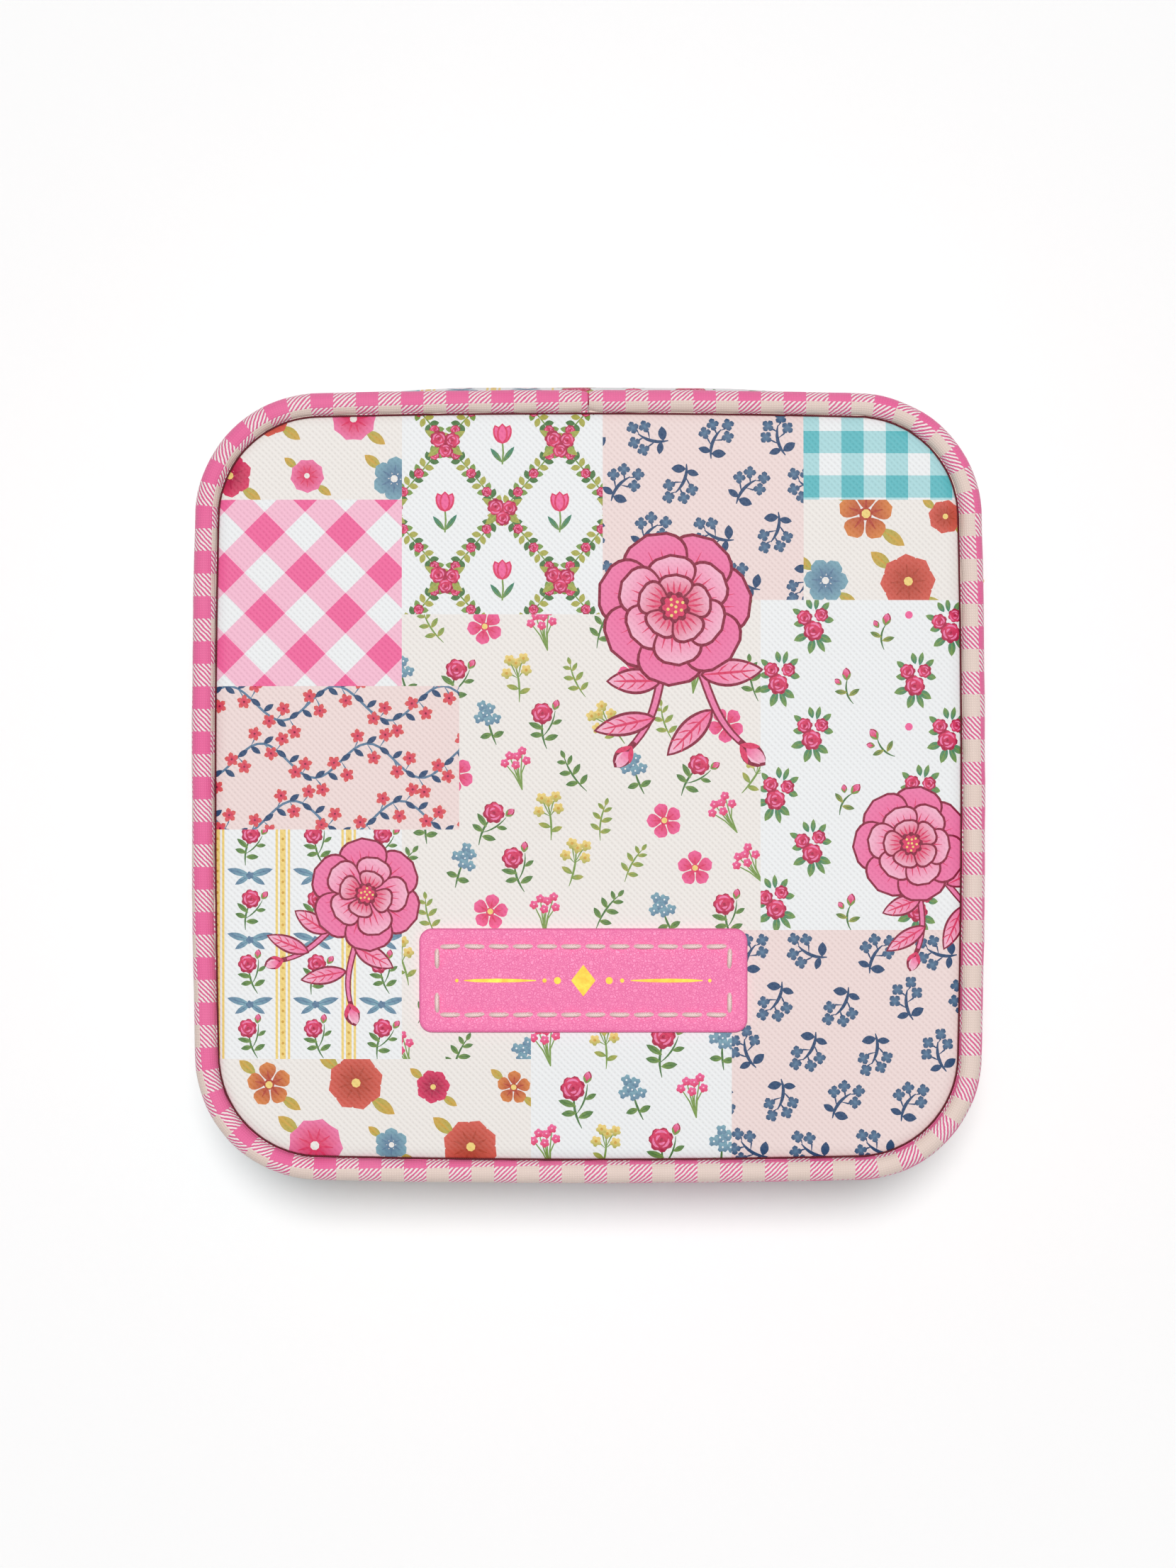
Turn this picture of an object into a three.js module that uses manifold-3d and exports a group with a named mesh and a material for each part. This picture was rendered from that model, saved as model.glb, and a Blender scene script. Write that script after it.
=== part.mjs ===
// A square zip-round jewelry case: a padded printed lid and a flat base, each with a round piping,
// joined by a flexible spine at the back, with a mirror in the lid and a velvet tray in the base.
// Millimetres. The origin is the middle of the underside, +Z is up and +Y is the hinge side.

import * as THREE from 'three';
import { mergeVertices } from 'three/addons/utils/BufferGeometryUtils.js';
import Module from 'manifold-3d';

const wasm = await Module();
wasm.setup();

// The outline seen from above
const caseWidth = 110;
const caseDepth = 110;
const cornerRadius = 17.5;

// Heights: from each piping's centre to the parting plane where the zip runs
const baseWall = 29;
const lidWall = 21.4;

// The piping is a round bead with a flat tail sewn in under the panel
const pipingDiameter = 3.2;
const tailThickness = 0.8;
const tailReach = 2.4;
const pipingJoin = 0.5;
const beadRise = 0.4;
const seamGap = 0.25;

// The walls, from the outside in
const gussetInset = 1.3;
const gussetEdge = 1.0;
const tapeThickness = 0.6;
const glueLine = 0.15;
const foldGap = 0.2;
const boardThickness = 1.0;
const boardFloor = 1.6;
const liningThickness = 0.6;
const liningCeiling = 1.0;

// The zip: two tapes, each with a row of teeth on its edge
const tapeWidth = 6.15;
const tapeShow = 1.9;
const tapeMeet = 0.2;
const toothReach = 1.0;
const toothGap = 0.5;
const chainStrip = 1.2;
const toothPitch = 3.0;
const toothWidth = 1.1;
const toothDepth = 2.2;
const stopLength = 1.5;
const stopGap = 0.6;
const stopFromCorner = 0.8;

// The slider, its bridge and its pull
const sliderLength = 10;
const sliderClear = 0.2;
const sliderPlate = 0.6;
const sliderFlange = 0.5;
const sliderPost = 1.4;
const sliderEdgeGap = 0.3;
const bridgeDiameter = 0.9;
const bridgeSpan = 6.4;
const linkWire = 0.7;
const linkLength = 3.6;
const linkClear = 0.2;
const tabThickness = 0.9;
const tabWidth = 7.5;
const tabHeadWidth = 3.8;
const tabLength = 21;
const tabHole = 1.5;
const tabEyeMargin = 1.1;

// The flexible spine and the hinge strip inside it
const spineFromCorner = 1.5;
const spineThickness = 1.0;
const spineBulge = 1.2;
const spineEndGap = 0.3;
const bulgePower = 4;
const fadePower = 6;
const bulgeAtEdge = 0.15;
const hingeStrip = 0.3;
const hingeStripRise = 14;

// The padded lid panel and its label
const panelSkin = 0.5;
const foamEdge = 0.25;
const lidCrown = 1.3;
const crownPower = 3;
const labelWidth = 45.7;
const labelDepth = 14.5;
const labelCorner = 1.8;
const labelThickness = 0.9;
const labelFromFront = 28;
const labelSideStep = -0.7;

// The inner tray and what stands in it
const lipHeight = 6.5;
const lipThickness = 1.2;
const lipGap = 0.1;
const trayFloor = 1.0;
const dividerThickness = 2.0;
const dividerDrop = 4;
const fitGap = 0.15;
const rollCount = 6;
const bedRest = 0.8;
const ringBedThickness = 1.0;
const rollPitch = 9;
const rollWidth = 8.6;
const rollHeight = 15;

// The mirror in the lid
const mirrorMargin = 8.2;
const mirrorBorder = 8;
const mirrorLap = 2;
const mirrorFit = 0.2;
const mirrorThickness = 2.0;
const mirrorLip = 0.6;
const frameCorner = 12;
const frameBevel = 0.8;

// How finely the round shapes are cut
const cornerSteps = 7;
const beadSteps = 10;
const bulgeSteps = 10;
const crownParts = [1, 0.95, 0.86, 0.72, 0.55, 0.35, 0.15];
const labelParts = [0.5, 1];
const spineParts = [1, 0.94, 0.82, 0.6, 0.25];

// Places that follow from the sizes
const beadRadius = pipingDiameter / 2;
const partingHeight = beadRise + beadRadius + baseWall;
const panelInset = pipingDiameter + seamGap;
const tapeOuter = gussetInset + gussetEdge + glueLine;
const tapeMiddle = tapeOuter + tapeThickness / 2;
const tapeInner = tapeOuter + tapeThickness;
const boardOuter = Math.max(panelInset, tapeInner + foldGap);
const boardInner = boardOuter + boardThickness;
const liningOuter = boardInner + glueLine;
const liningInner = liningOuter + liningThickness;
const chainHalf = toothReach + toothGap + chainStrip;
const tapeEdge = chainHalf + glueLine;
const tapeFarEdge = tapeEdge + tapeWidth;
const gussetMouth = chainHalf + tapeShow;
const boardMouth = gussetMouth + foldGap;
const plateNear = toothDepth / 2 + sliderClear;
const plateFar = plateNear + sliderPlate;
const lipOuter = Math.max(liningInner + hingeStrip + lipGap, tapeMiddle + plateFar + sliderClear);
const trayInner = lipOuter + lipThickness;
const baseSeam = baseWall - tailThickness / 2;
const lidSeam = lidWall - tailThickness / 2;
const beadSide = beadRadius + spineEndGap;
const trayBottom = -(baseSeam - boardFloor);
const cavityFloor = trayBottom + trayFloor;
const liningTop = lidSeam - boardFloor;
const liningBottom = liningTop - liningCeiling;
const cavityHalfX = caseWidth / 2 - trayInner;
const cavityHalfY = caseDepth / 2 - trayInner;
const cornerX = caseWidth / 2 - cornerRadius;
const cornerY = caseDepth / 2 - cornerRadius;
const spineHalf = cornerX - spineFromCorner;

const outline = { width: caseWidth, depth: caseDepth, radius: cornerRadius };

// A mesh with its name and finish
function piece(name, geometry, material) {
  const mesh = new THREE.Mesh(geometry, material);
  mesh.name = name;
  return mesh;
}

// A closed body from points and faces, turned so that the faces point out
function body(points, faces) {
  const volume = faces.reduce((sum, [a, b, c]) => {
    const corner = points[b].clone().cross(points[c]);
    return sum + points[a].dot(corner);
  }, 0);
  const index = volume > 0 ? faces.flat() : faces.map(([a, b, c]) => [a, c, b]).flat();
  const geometry = new THREE.BufferGeometry().setFromPoints(points);
  geometry.setIndex(index);
  geometry.computeVertexNormals();
  return geometry;
}

// The two triangles between four corners
function quad(a, b, c, d) {
  return [[a, b, c], [a, c, d]];
}

// The stations round a rounded rectangle, clockwise from the back: a centre to turn about, a way out
function stationsRound({ width, depth, radius }) {
  const reachX = width / 2 - radius;
  const reachY = depth / 2 - radius;
  const corners = [[1, 1], [1, -1], [-1, -1], [-1, 1]];
  return corners.flatMap(([signX, signY], corner) => {
    const steps = Array.from({ length: cornerSteps + 1 }, (_, step) => step / cornerSteps);
    return steps.map((part) => {
      const angle = (1 - corner - part) * Math.PI / 2;
      return { x: signX * reachX, y: signY * reachY, outX: Math.cos(angle), outY: Math.sin(angle) };
    });
  });
}

// The same stations with two more on the back, so that a band can start and end there
function stationsFromBack(shape, halfOpening) {
  const reachY = shape.depth / 2 - shape.radius;
  const first = { x: halfOpening, y: reachY, outX: 0, outY: 1 };
  const last = { x: -halfOpening, y: reachY, outX: 0, outY: 1 };
  return [first, ...stationsRound(shape), last];
}

// Two stations on the straight back, for a strip across it
function stationsOnBack(shape, halfLength) {
  const reachY = shape.depth / 2 - shape.radius;
  return [halfLength, -halfLength].map((x) => ({ x, y: reachY, outX: 0, outY: 1 }));
}

// The point at a station, a given distance in from the outline
function pointAt(station, radius, inset, height) {
  const out = radius - inset;
  return new THREE.Vector3(station.x + station.outX * out, station.y + station.outY * out, height);
}

// A closed row of points round an outline
function row(shape, inset, height) {
  return stationsRound(shape).map((station) => pointAt(station, shape.radius, inset, height));
}

// A closed body through rows of points, its first and last rows closed to their middles
function skin(rows) {
  const count = rows[0].length;
  const points = rows.flat();
  const faces = [];
  for (let level = 0; level + 1 < rows.length; level += 1) {
    for (let step = 0; step < count; step += 1) {
      const next = (step + 1) % count;
      const low = level * count;
      const high = low + count;
      faces.push(...quad(low + step, low + next, high + next, high + step));
    }
  }
  [0, rows.length - 1].forEach((level) => {
    const middle = points.push(middleOf(rows[level])) - 1;
    for (let step = 0; step < count; step += 1) {
      const here = level * count + step;
      const next = level * count + (step + 1) % count;
      faces.push(level === 0 ? [middle, next, here] : [middle, here, next]);
    }
  });
  return body(points, faces);
}

// The middle of a row
function middleOf(points) {
  const sum = points.reduce((total, point) => total.add(point), new THREE.Vector3());
  return sum.divideScalar(points.length);
}

// A tray or slab: rows round the outline from the middle of one face to the middle of the other
function tray(profile) {
  return skin(profile.map(([inset, height]) => row(outline, inset, height)));
}

// A section swept along stations: each section point is an inset and a height
function band(stations, radius, sectionAt, isRing) {
  const sections = stations.map(sectionAt);
  const count = sections[0].length;
  const points = stations.flatMap((station, index) => (
    sections[index].map(([inset, height]) => pointAt(station, radius, inset, height))
  ));
  const faces = [];
  const runs = isRing ? stations.length : stations.length - 1;
  for (let run = 0; run < runs; run += 1) {
    const here = run * count;
    const there = ((run + 1) % stations.length) * count;
    for (let step = 0; step < count; step += 1) {
      const next = (step + 1) % count;
      faces.push(...quad(here + step, here + next, there + next, there + step));
    }
  }
  if (!isRing) {
    const last = stations.length - 1;
    capOf(sections[0]).forEach(([a, b, c]) => faces.push([a, c, b]));
    capOf(sections[last]).forEach((corners) => faces.push(corners.map((corner) => last * count + corner)));
  }
  return body(points, faces);
}

// The triangles that fill a section, turned the way its own points run
function capOf(section) {
  const flat = section.map(([inset, height]) => new THREE.Vector2(inset, height));
  const turn = Math.sign(THREE.ShapeUtils.area(flat));
  return THREE.ShapeUtils.triangulateShape(flat, []).map((corners) => {
    const sense = Math.sign(THREE.ShapeUtils.area(corners.map((corner) => flat[corner])));
    return sense === turn ? corners : [...corners].reverse();
  });
}

// A shape drawn across the case's side and cut to a thickness along X
function sidePlate(shape, thickness, startX) {
  const geometry = new THREE.ExtrudeGeometry(shape, {
    depth: thickness,
    bevelEnabled: false,
    curveSegments: 6,
  });
  const turn = new THREE.Matrix4().makeBasis(
    new THREE.Vector3(0, 1, 0),
    new THREE.Vector3(0, 0, 1),
    new THREE.Vector3(1, 0, 0),
  );
  geometry.applyMatrix4(turn);
  geometry.translate(startX, 0, 0);
  return geometry;
}

// A box between two corners
function block([x0, y0, z0], [x1, y1, z1]) {
  const geometry = new THREE.BoxGeometry(x1 - x0, y1 - y0, z1 - z0);
  geometry.translate((x0 + x1) / 2, (y0 + y1) / 2, (z0 + z1) / 2);
  return geometry;
}

// Several closed shapes joined into one body
function join(shapes) {
  const solids = shapes.map((shape) => {
    const plain = shape.clone();
    plain.deleteAttribute('normal');
    plain.deleteAttribute('uv');
    const merged = mergeVertices(plain);
    return new wasm.Manifold(new wasm.Mesh({
      numProp: 3,
      vertProperties: new Float32Array(merged.attributes.position.array),
      triVerts: new Uint32Array(merged.index.array),
    }));
  });
  const mesh = solids.reduce((whole, solid) => whole.add(solid)).getMesh();
  const geometry = new THREE.BufferGeometry();
  geometry.setAttribute('position', new THREE.BufferAttribute(mesh.vertProperties, 3));
  geometry.setIndex(new THREE.BufferAttribute(mesh.triVerts, 1));
  geometry.computeVertexNormals();
  return geometry;
}

// Finishes
const finish = (color, roughness, metalness = 0) => (
  new THREE.MeshStandardMaterial({ color, roughness, metalness })
);
const printed = finish(0xf0e6df, 0.55);
const gingham = finish(0xf06ba8, 0.6);
const pinkLeather = finish(0xfa78af, 0.45);
const velvet = finish(0xf3bfcc, 0.95);
const velvetDeep = finish(0xe9a4b8, 0.95);
const card = finish(0xc9b79c, 0.9);
const foam = finish(0xf5f2e6, 0.95);
const tapeCloth = finish(0xf59cc2, 0.85);
const gold = finish(0xd9ad5b, 0.28, 1);
const glass = finish(0xe8eef2, 0.03, 1);

// The piping: a bead with a flat tail, its two ends butted together at the back
function pipingSection(side, wall) {
  const tailStart = Math.asin(tailThickness / 2 / beadRadius);
  const sweep = 2 * Math.PI - 2 * tailStart;
  const tailInset = pipingDiameter + tailReach;
  const middle = side * wall;
  const bead = Array.from({ length: beadSteps + 1 }, (_, step) => {
    const angle = tailStart + sweep * step / beadSteps;
    return [beadRadius * (1 + Math.cos(angle)), middle + beadRadius * Math.sin(angle)];
  });
  return [[tailInset, middle + tailThickness / 2], ...bead, [tailInset, middle - tailThickness / 2]];
}

function piping(side, wall) {
  const stations = stationsFromBack(outline, pipingJoin / 2);
  return band(stations, cornerRadius, () => pipingSection(side, wall), false);
}

// The gusset: a padded side wall that thins where it is turned in over the zip tape
function gusset(side, wall) {
  const top = side * (wall - beadSide);
  const pad = boardOuter - foldGap;
  const step = side * (tapeFarEdge + seamGap);
  const mouth = side * gussetMouth;
  const edge = gussetInset + gussetEdge;
  const section = [
    [gussetInset, top],
    [gussetInset, mouth],
    [edge, mouth],
    [edge, step],
    [pad, step],
    [pad, top],
  ];
  const stations = stationsFromBack(outline, spineHalf + spineEndGap);
  return band(stations, cornerRadius, () => section, false);
}

// The flat panel under the case, glued to the underside of the base piping's tail
function basePanel() {
  return tray([
    [panelInset, -partingHeight],
    [panelInset, -baseSeam - tailThickness],
  ]);
}

// The stiff card tray of each half
function board(side, seam) {
  return tray([
    [boardOuter, side * seam],
    [boardOuter, side * boardMouth],
    [boardInner, side * boardMouth],
    [boardInner, side * (seam - boardFloor)],
  ]);
}

// The zip's run, from behind the parked slider on the right, round the front, to the stops on the left
const stopEnd = cornerY - stopFromCorner;
const sliderY = stopEnd - stopLength - stopGap - sliderLength / 2;
const chainStart = sliderY - sliderLength / 2 - stopGap;
const chainEnd = stopEnd - stopLength - stopGap;

// The cloth tape that each row of teeth is sewn to: past the stops its edge comes up to the parting plane
function tape(side) {
  const stations = stationsFromBack(outline, spineHalf + spineEndGap);
  const perCorner = cornerSteps + 1;
  const rampY = stopEnd + stopGap / 2;
  const ramps = [1, -1].map((out) => ({ x: out * cornerX, y: rampY, outX: out, outY: 0 }));
  const back = perCorner + 1;
  const front = 2 * perCorner;
  const along = stations.slice(back, back + front);
  const all = [...stations.slice(0, back), ramps[0], ...along, ramps[1], ...stations.slice(back + front)];
  return band(all, cornerRadius, (station) => {
    const isPastStops = station.y > rampY;
    const near = side * (isPastStops ? tapeMeet : tapeEdge);
    const far = side * tapeFarEdge;
    return [[tapeOuter, near], [tapeInner, near], [tapeInner, far], [tapeOuter, far]];
  }, false);
}

// A run along the tape's middle line
function chainRun() {
  const bend = cornerRadius - tapeMiddle;
  const sideX = caseWidth / 2 - tapeMiddle;
  const path = new THREE.Path();
  path.moveTo(sideX, chainStart);
  path.lineTo(sideX, -cornerY);
  path.absarc(cornerX, -cornerY, bend, 0, -Math.PI / 2, true);
  path.absarc(-cornerX, -cornerY, bend, -Math.PI / 2, -Math.PI, true);
  path.lineTo(-sideX, chainEnd);
  return path;
}

// One row of teeth on its strip, as a comb that follows the zip's run
function chain(side, offset) {
  const path = chainRun();
  const length = path.getLength();
  const teeth = Math.floor((length - offset - toothWidth) / toothPitch) + 1;
  const starts = Array.from({ length: teeth }, (_, tooth) => offset + tooth * toothPitch);
  const cuts = [0, ...starts.flatMap((start) => [start, start + toothWidth]), length];
  const strip = [side * chainHalf, side * (chainHalf - chainStrip)];
  const tip = -side * toothReach;
  const points = [];
  const faces = [];
  cuts.forEach((distance) => {
    const middle = path.getPointAt(distance / length);
    const along = path.getTangentAt(distance / length);
    const out = new THREE.Vector2(-along.y, along.x).multiplyScalar(toothDepth / 2);
    [strip[0], strip[1], tip].forEach((height) => {
      points.push(new THREE.Vector3(middle.x - out.x, middle.y - out.y, height));
      points.push(new THREE.Vector3(middle.x + out.x, middle.y + out.y, height));
    });
  });
  // Each cut has an inner and an outer point at the strip's far edge, its near edge and the tooth's tip
  const perCut = 6;
  const [farIn, farOut, nearIn, nearOut, tipIn, tipOut] = [0, 1, 2, 3, 4, 5];
  for (let cut = 0; cut + 1 < cuts.length; cut += 1) {
    const here = cut * perCut;
    const there = here + perCut;
    const isTooth = cut % 2 === 1;
    faces.push(...quad(here + farIn, here + farOut, there + farOut, there + farIn));
    faces.push(...quad(here + farOut, here + nearOut, there + nearOut, there + farOut));
    faces.push(...quad(here + nearIn, here + farIn, there + farIn, there + nearIn));
    if (isTooth) {
      faces.push(...quad(here + nearOut, here + tipOut, there + tipOut, there + nearOut));
      faces.push(...quad(here + tipIn, here + nearIn, there + nearIn, there + tipIn));
      faces.push(...quad(here + tipOut, here + tipIn, there + tipIn, there + tipOut));
      faces.push(...quad(here + nearOut, here + nearIn, here + tipIn, here + tipOut));
      faces.push(...quad(there + nearIn, there + nearOut, there + tipOut, there + tipIn));
    } else {
      faces.push(...quad(here + nearOut, here + nearIn, there + nearIn, there + nearOut));
    }
  }
  const last = (cuts.length - 1) * perCut;
  faces.push(...quad(farIn, nearIn, nearOut, farOut));
  faces.push(...quad(last + farOut, last + nearOut, last + nearIn, last + farIn));
  const used = [...new Set(faces.flat())].sort((a, b) => a - b);
  const place = new Map(used.map((point, index) => [point, index]));
  const kept = used.map((point) => points[point]);
  return body(kept, faces.map((face) => face.map((point) => place.get(point))));
}

// A metal stop across the tape edges, on the right or the left side
function zipStop(sideX, near, far) {
  const middle = sideX * (caseWidth / 2 - tapeMiddle);
  const half = toothDepth / 2;
  return block([middle - half, stopEnd - stopLength, near], [middle + half, stopEnd, far]);
}

// The padded panel of the lid: how high its top stands above the seam, by its share of the way out
function crownHeight(part) {
  return foamEdge + glueLine + panelSkin + lidCrown * (1 - part ** crownPower);
}

// Rows of a crowned face, from its edge to near its middle, a drop below the panel's top
function crownRows(inset, drop) {
  return crownParts.map((part) => {
    const height = lidSeam + tailThickness + crownHeight(part) - drop;
    return row(outline, inset, height).map((point) => point.multiply(new THREE.Vector3(part, part, 1)));
  });
}

function lidPanel() {
  const seamTop = lidSeam + tailThickness;
  const outerRows = crownRows(panelInset, 0);
  const innerRows = crownRows(panelInset + panelSkin, panelSkin);
  const outerEdge = row(outline, panelInset, seamTop);
  const innerEdge = row(outline, panelInset + panelSkin, seamTop);
  return skin([...innerRows].reverse().concat([innerEdge, outerEdge], outerRows));
}

function lidFoam() {
  const inset = panelInset + panelSkin + glueLine;
  const bottom = row(outline, inset, lidSeam + tailThickness);
  return skin([bottom, ...crownRows(inset, panelSkin + glueLine)]);
}

// The label lies on the crown, so its faces follow it
const labelY = -caseDepth / 2 + labelFromFront;
const label = { width: labelWidth, depth: labelDepth, radius: labelCorner };

function labelRow(part, lift, inset = 0) {
  return row(label, inset, 0).map((point) => {
    const x = point.x * part + labelSideStep;
    const y = point.y * part + labelY;
    const shareX = Math.abs(x) / (caseWidth / 2 - panelInset);
    const shareY = Math.abs(y) / (caseDepth / 2 - panelInset);
    const top = lidSeam + tailThickness + crownHeight(Math.max(shareX, shareY));
    return new THREE.Vector3(x, y, top + lift);
  });
}

function lidLabel() {
  const bevel = labelThickness / 2;
  const under = labelParts.map((part) => labelRow(part, glueLine));
  const shoulder = labelRow(1, glueLine + labelThickness - bevel);
  const face = labelRow(1, glueLine + labelThickness, bevel);
  const middle = labelRow(labelParts[0], glueLine + labelThickness);
  return skin([...under, shoulder, face, middle]);
}

// The flexible spine: padded at its two ends, thin and bulging across the parting plane
function spineSection(station) {
  const bottom = -(baseWall - beadSide);
  const top = lidWall - beadSide;
  const fade = 1 - (1 - bulgeAtEdge) * Math.abs(station.x / spineHalf) ** fadePower;
  const outer = Array.from({ length: bulgeSteps + 1 }, (_, step) => {
    const part = step / bulgeSteps;
    const swell = (1 - Math.abs(2 * part - 1) ** bulgePower) ** (1 / bulgePower);
    return [gussetInset - (gussetInset + spineBulge) * swell * fade, bottom + (top - bottom) * part];
  });
  const pad = boardOuter - foldGap;
  const thinEnd = tapeFarEdge + seamGap;
  const inner = outer
    .filter(([, height]) => Math.abs(height) < tapeFarEdge)
    .map(([inset, height]) => [inset + spineThickness, height]);
  const thin = inner[0][0];
  const innerSide = [
    [pad, bottom],
    [pad, -thinEnd],
    [thin, -thinEnd],
    ...inner,
    [thin, thinEnd],
    [pad, thinEnd],
    [pad, top],
  ];
  return [...outer, ...innerSide.reverse()];
}

function spine() {
  const parts = [...spineParts, ...spineParts.map((part) => -part).reverse()];
  const reachY = outline.depth / 2 - outline.radius;
  const stations = parts.map((part) => ({ x: part * spineHalf, y: reachY, outX: 0, outY: 1 }));
  return band(stations, cornerRadius, spineSection, false);
}

function hingeLining() {
  const low = -boardMouth + foldGap;
  const section = [
    [liningInner, low],
    [liningInner, hingeStripRise],
    [liningInner + hingeStrip, hingeStripRise],
    [liningInner + hingeStrip, low],
  ];
  return band(stationsOnBack(outline, spineHalf), cornerRadius, () => section, false);
}

// The velvet tray: it rests on the board's floor, and its lip stands up into the lid
function baseFrame() {
  return tray([
    [liningOuter, trayBottom],
    [liningOuter, -boardMouth],
    [lipOuter, -boardMouth],
    [lipOuter, lipHeight],
    [trayInner, lipHeight],
    [trayInner, cavityFloor],
  ]);
}

function lidLining() {
  return tray([
    [liningOuter, liningTop],
    [liningOuter, boardMouth],
    [liningInner, boardMouth],
    [liningInner, liningBottom],
  ]);
}

// The mirror and its padded frame, against the lining's ceiling
const frameShape = {
  width: caseWidth - 2 * (liningInner + mirrorMargin),
  depth: caseDepth - 2 * (liningInner + mirrorMargin),
  radius: frameCorner,
};
const frameBottom = liningBottom - mirrorLip - mirrorThickness - 2 * mirrorFit;

function mirrorFrame() {
  const pocket = mirrorBorder - mirrorLap;
  const ledge = frameBottom + mirrorLip;
  const section = [
    [0, liningBottom],
    [0, frameBottom + frameBevel],
    [frameBevel, frameBottom],
    [mirrorBorder, frameBottom],
    [mirrorBorder, ledge],
    [pocket, ledge],
    [pocket, liningBottom],
  ];
  return band(stationsRound(frameShape), frameShape.radius, () => section, true);
}

function mirror() {
  const inset = mirrorBorder - mirrorLap + mirrorFit;
  const low = frameBottom + mirrorLip + mirrorFit;
  return skin([row(frameShape, inset, low), row(frameShape, inset, low + mirrorThickness)]);
}

// How far a piece in the cavity can reach to the side, at a distance from front to back
function cavityReach(y) {
  const past = Math.max(0, Math.abs(y) - cornerY);
  const facet = Math.cos(Math.PI / 4 / cornerSteps);
  const bend = (cornerRadius - trayInner) * facet - fitGap;
  return cornerX + Math.sqrt(Math.max(0, bend ** 2 - past ** 2));
}

const dividerTop = -dividerDrop;
const rightStart = dividerThickness / 2 + fitGap;
const bedFront = -cavityHalfY + fitGap;
const bedBack = bedFront + (rollCount - 1) * rollPitch + rollWidth + bedRest;

function dividerLong() {
  const half = dividerThickness / 2;
  const end = cavityHalfY - fitGap;
  return block([-half, -end, cavityFloor], [half, end, dividerTop]);
}

function dividerAcross(side, middleY) {
  const half = dividerThickness / 2;
  const ends = [side * rightStart, side * (cavityHalfX - fitGap)].sort((a, b) => a - b);
  return block([ends[0], middleY - half, cavityFloor], [ends[1], middleY + half, dividerTop]);
}

// The board that carries the ring rolls, with its outer front corner cut round like the tray's
function ringBed() {
  const right = cavityHalfX - fitGap;
  const bend = cornerRadius - trayInner - fitGap;
  const shape = new THREE.Shape();
  shape.moveTo(rightStart, bedFront);
  shape.lineTo(right - bend, bedFront);
  shape.absarc(right - bend, bedFront + bend, bend, -Math.PI / 2, 0, false);
  shape.lineTo(right, bedBack);
  shape.lineTo(rightStart, bedBack);
  shape.closePath();
  const geometry = new THREE.ExtrudeGeometry(shape, {
    depth: ringBedThickness,
    bevelEnabled: false,
    curveSegments: cornerSteps,
  });
  geometry.translate(0, 0, cavityFloor);
  return geometry;
}

// A ring roll: an upright padded strip with a round top, as long as the tray is wide there
function ringRoll(number) {
  const front = bedFront + number * rollPitch;
  const half = rollWidth / 2;
  const bottom = cavityFloor + ringBedThickness;
  const shape = new THREE.Shape();
  shape.moveTo(front, bottom);
  shape.lineTo(front + rollWidth, bottom);
  shape.lineTo(front + rollWidth, bottom + rollHeight - half);
  shape.absarc(front + half, bottom + rollHeight - half, half, 0, Math.PI, false);
  shape.lineTo(front, bottom);
  const far = Math.min(cavityReach(front), cavityReach(front + rollWidth));
  return sidePlate(shape, far - rightStart, rightStart);
}

// The slider: two plates either side of the teeth, joined by a post, with flanges that hold the chain in
function sliderBody() {
  const half = sliderLength / 2;
  const wide = gussetMouth - sliderEdgeGap;
  const narrow = chainHalf + sliderClear + sliderFlange;
  const plate = new THREE.Shape();
  plate.moveTo(half, -narrow);
  plate.lineTo(half, narrow);
  plate.lineTo(0, narrow);
  plate.lineTo(-half / 2, wide);
  plate.quadraticCurveTo(-half, wide, -half, 0);
  plate.quadraticCurveTo(-half, -wide, -half / 2, -wide);
  plate.lineTo(0, -narrow);
  plate.closePath();
  const sink = sliderPlate / 2;
  const slot = tapeThickness / 2 + sliderClear;
  const postY = -half + sliderPost;
  const parts = [
    sidePlate(plate, sliderPlate, plateNear),
    sidePlate(plate, sliderPlate, -plateFar),
    block(
      [-plateNear - sink, postY - sliderPost / 2, -sliderPost / 2],
      [plateNear + sink, postY + sliderPost / 2, sliderPost / 2],
    ),
  ];
  [-1, 1].forEach((up) => {
    const heights = [up * (narrow - sliderFlange), up * narrow].sort((a, b) => a - b);
    parts.push(block([slot, 0, heights[0]], [plateNear + sink, half, heights[1]]));
    parts.push(block([-plateNear - sink, 0, heights[0]], [-slot, half, heights[1]]));
  });
  const thick = bridgeDiameter / 2;
  const bridge = new THREE.CylinderGeometry(thick, thick, bridgeSpan, beadSteps);
  bridge.translate(bridgeOut, 0, 0);
  parts.push(bridge);
  [-1, 1].forEach((end) => {
    const foot = end * (bridgeSpan / 2 - thick);
    parts.push(block(
      [plateFar - sink, foot - thick, -thick],
      [bridgeOut, foot + thick, thick],
    ));
  });
  return join(parts);
}

const bridgeOut = plateFar + linkClear + linkWire + linkClear + bridgeDiameter / 2;

// The pull: a wire link round the bridge, and a leatherette tab that hangs from it
const linkBend = bridgeDiameter / 2 + linkClear + linkWire / 2;

function pullLink() {
  const outer = linkBend + linkWire / 2;
  const shape = { width: 2 * outer, depth: linkLength + 2 * outer, radius: outer };
  const half = linkWire / 2;
  const section = Array.from({ length: beadSteps }, (_, step) => {
    const angle = 2 * Math.PI * step / beadSteps;
    return [half + half * Math.cos(angle), half * Math.sin(angle)];
  });
  const geometry = band(stationsRound(shape), shape.radius, () => section, true);
  geometry.translate(0, -linkLength / 2, 0);
  geometry.rotateX(Math.PI / 2);
  return geometry;
}

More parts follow.
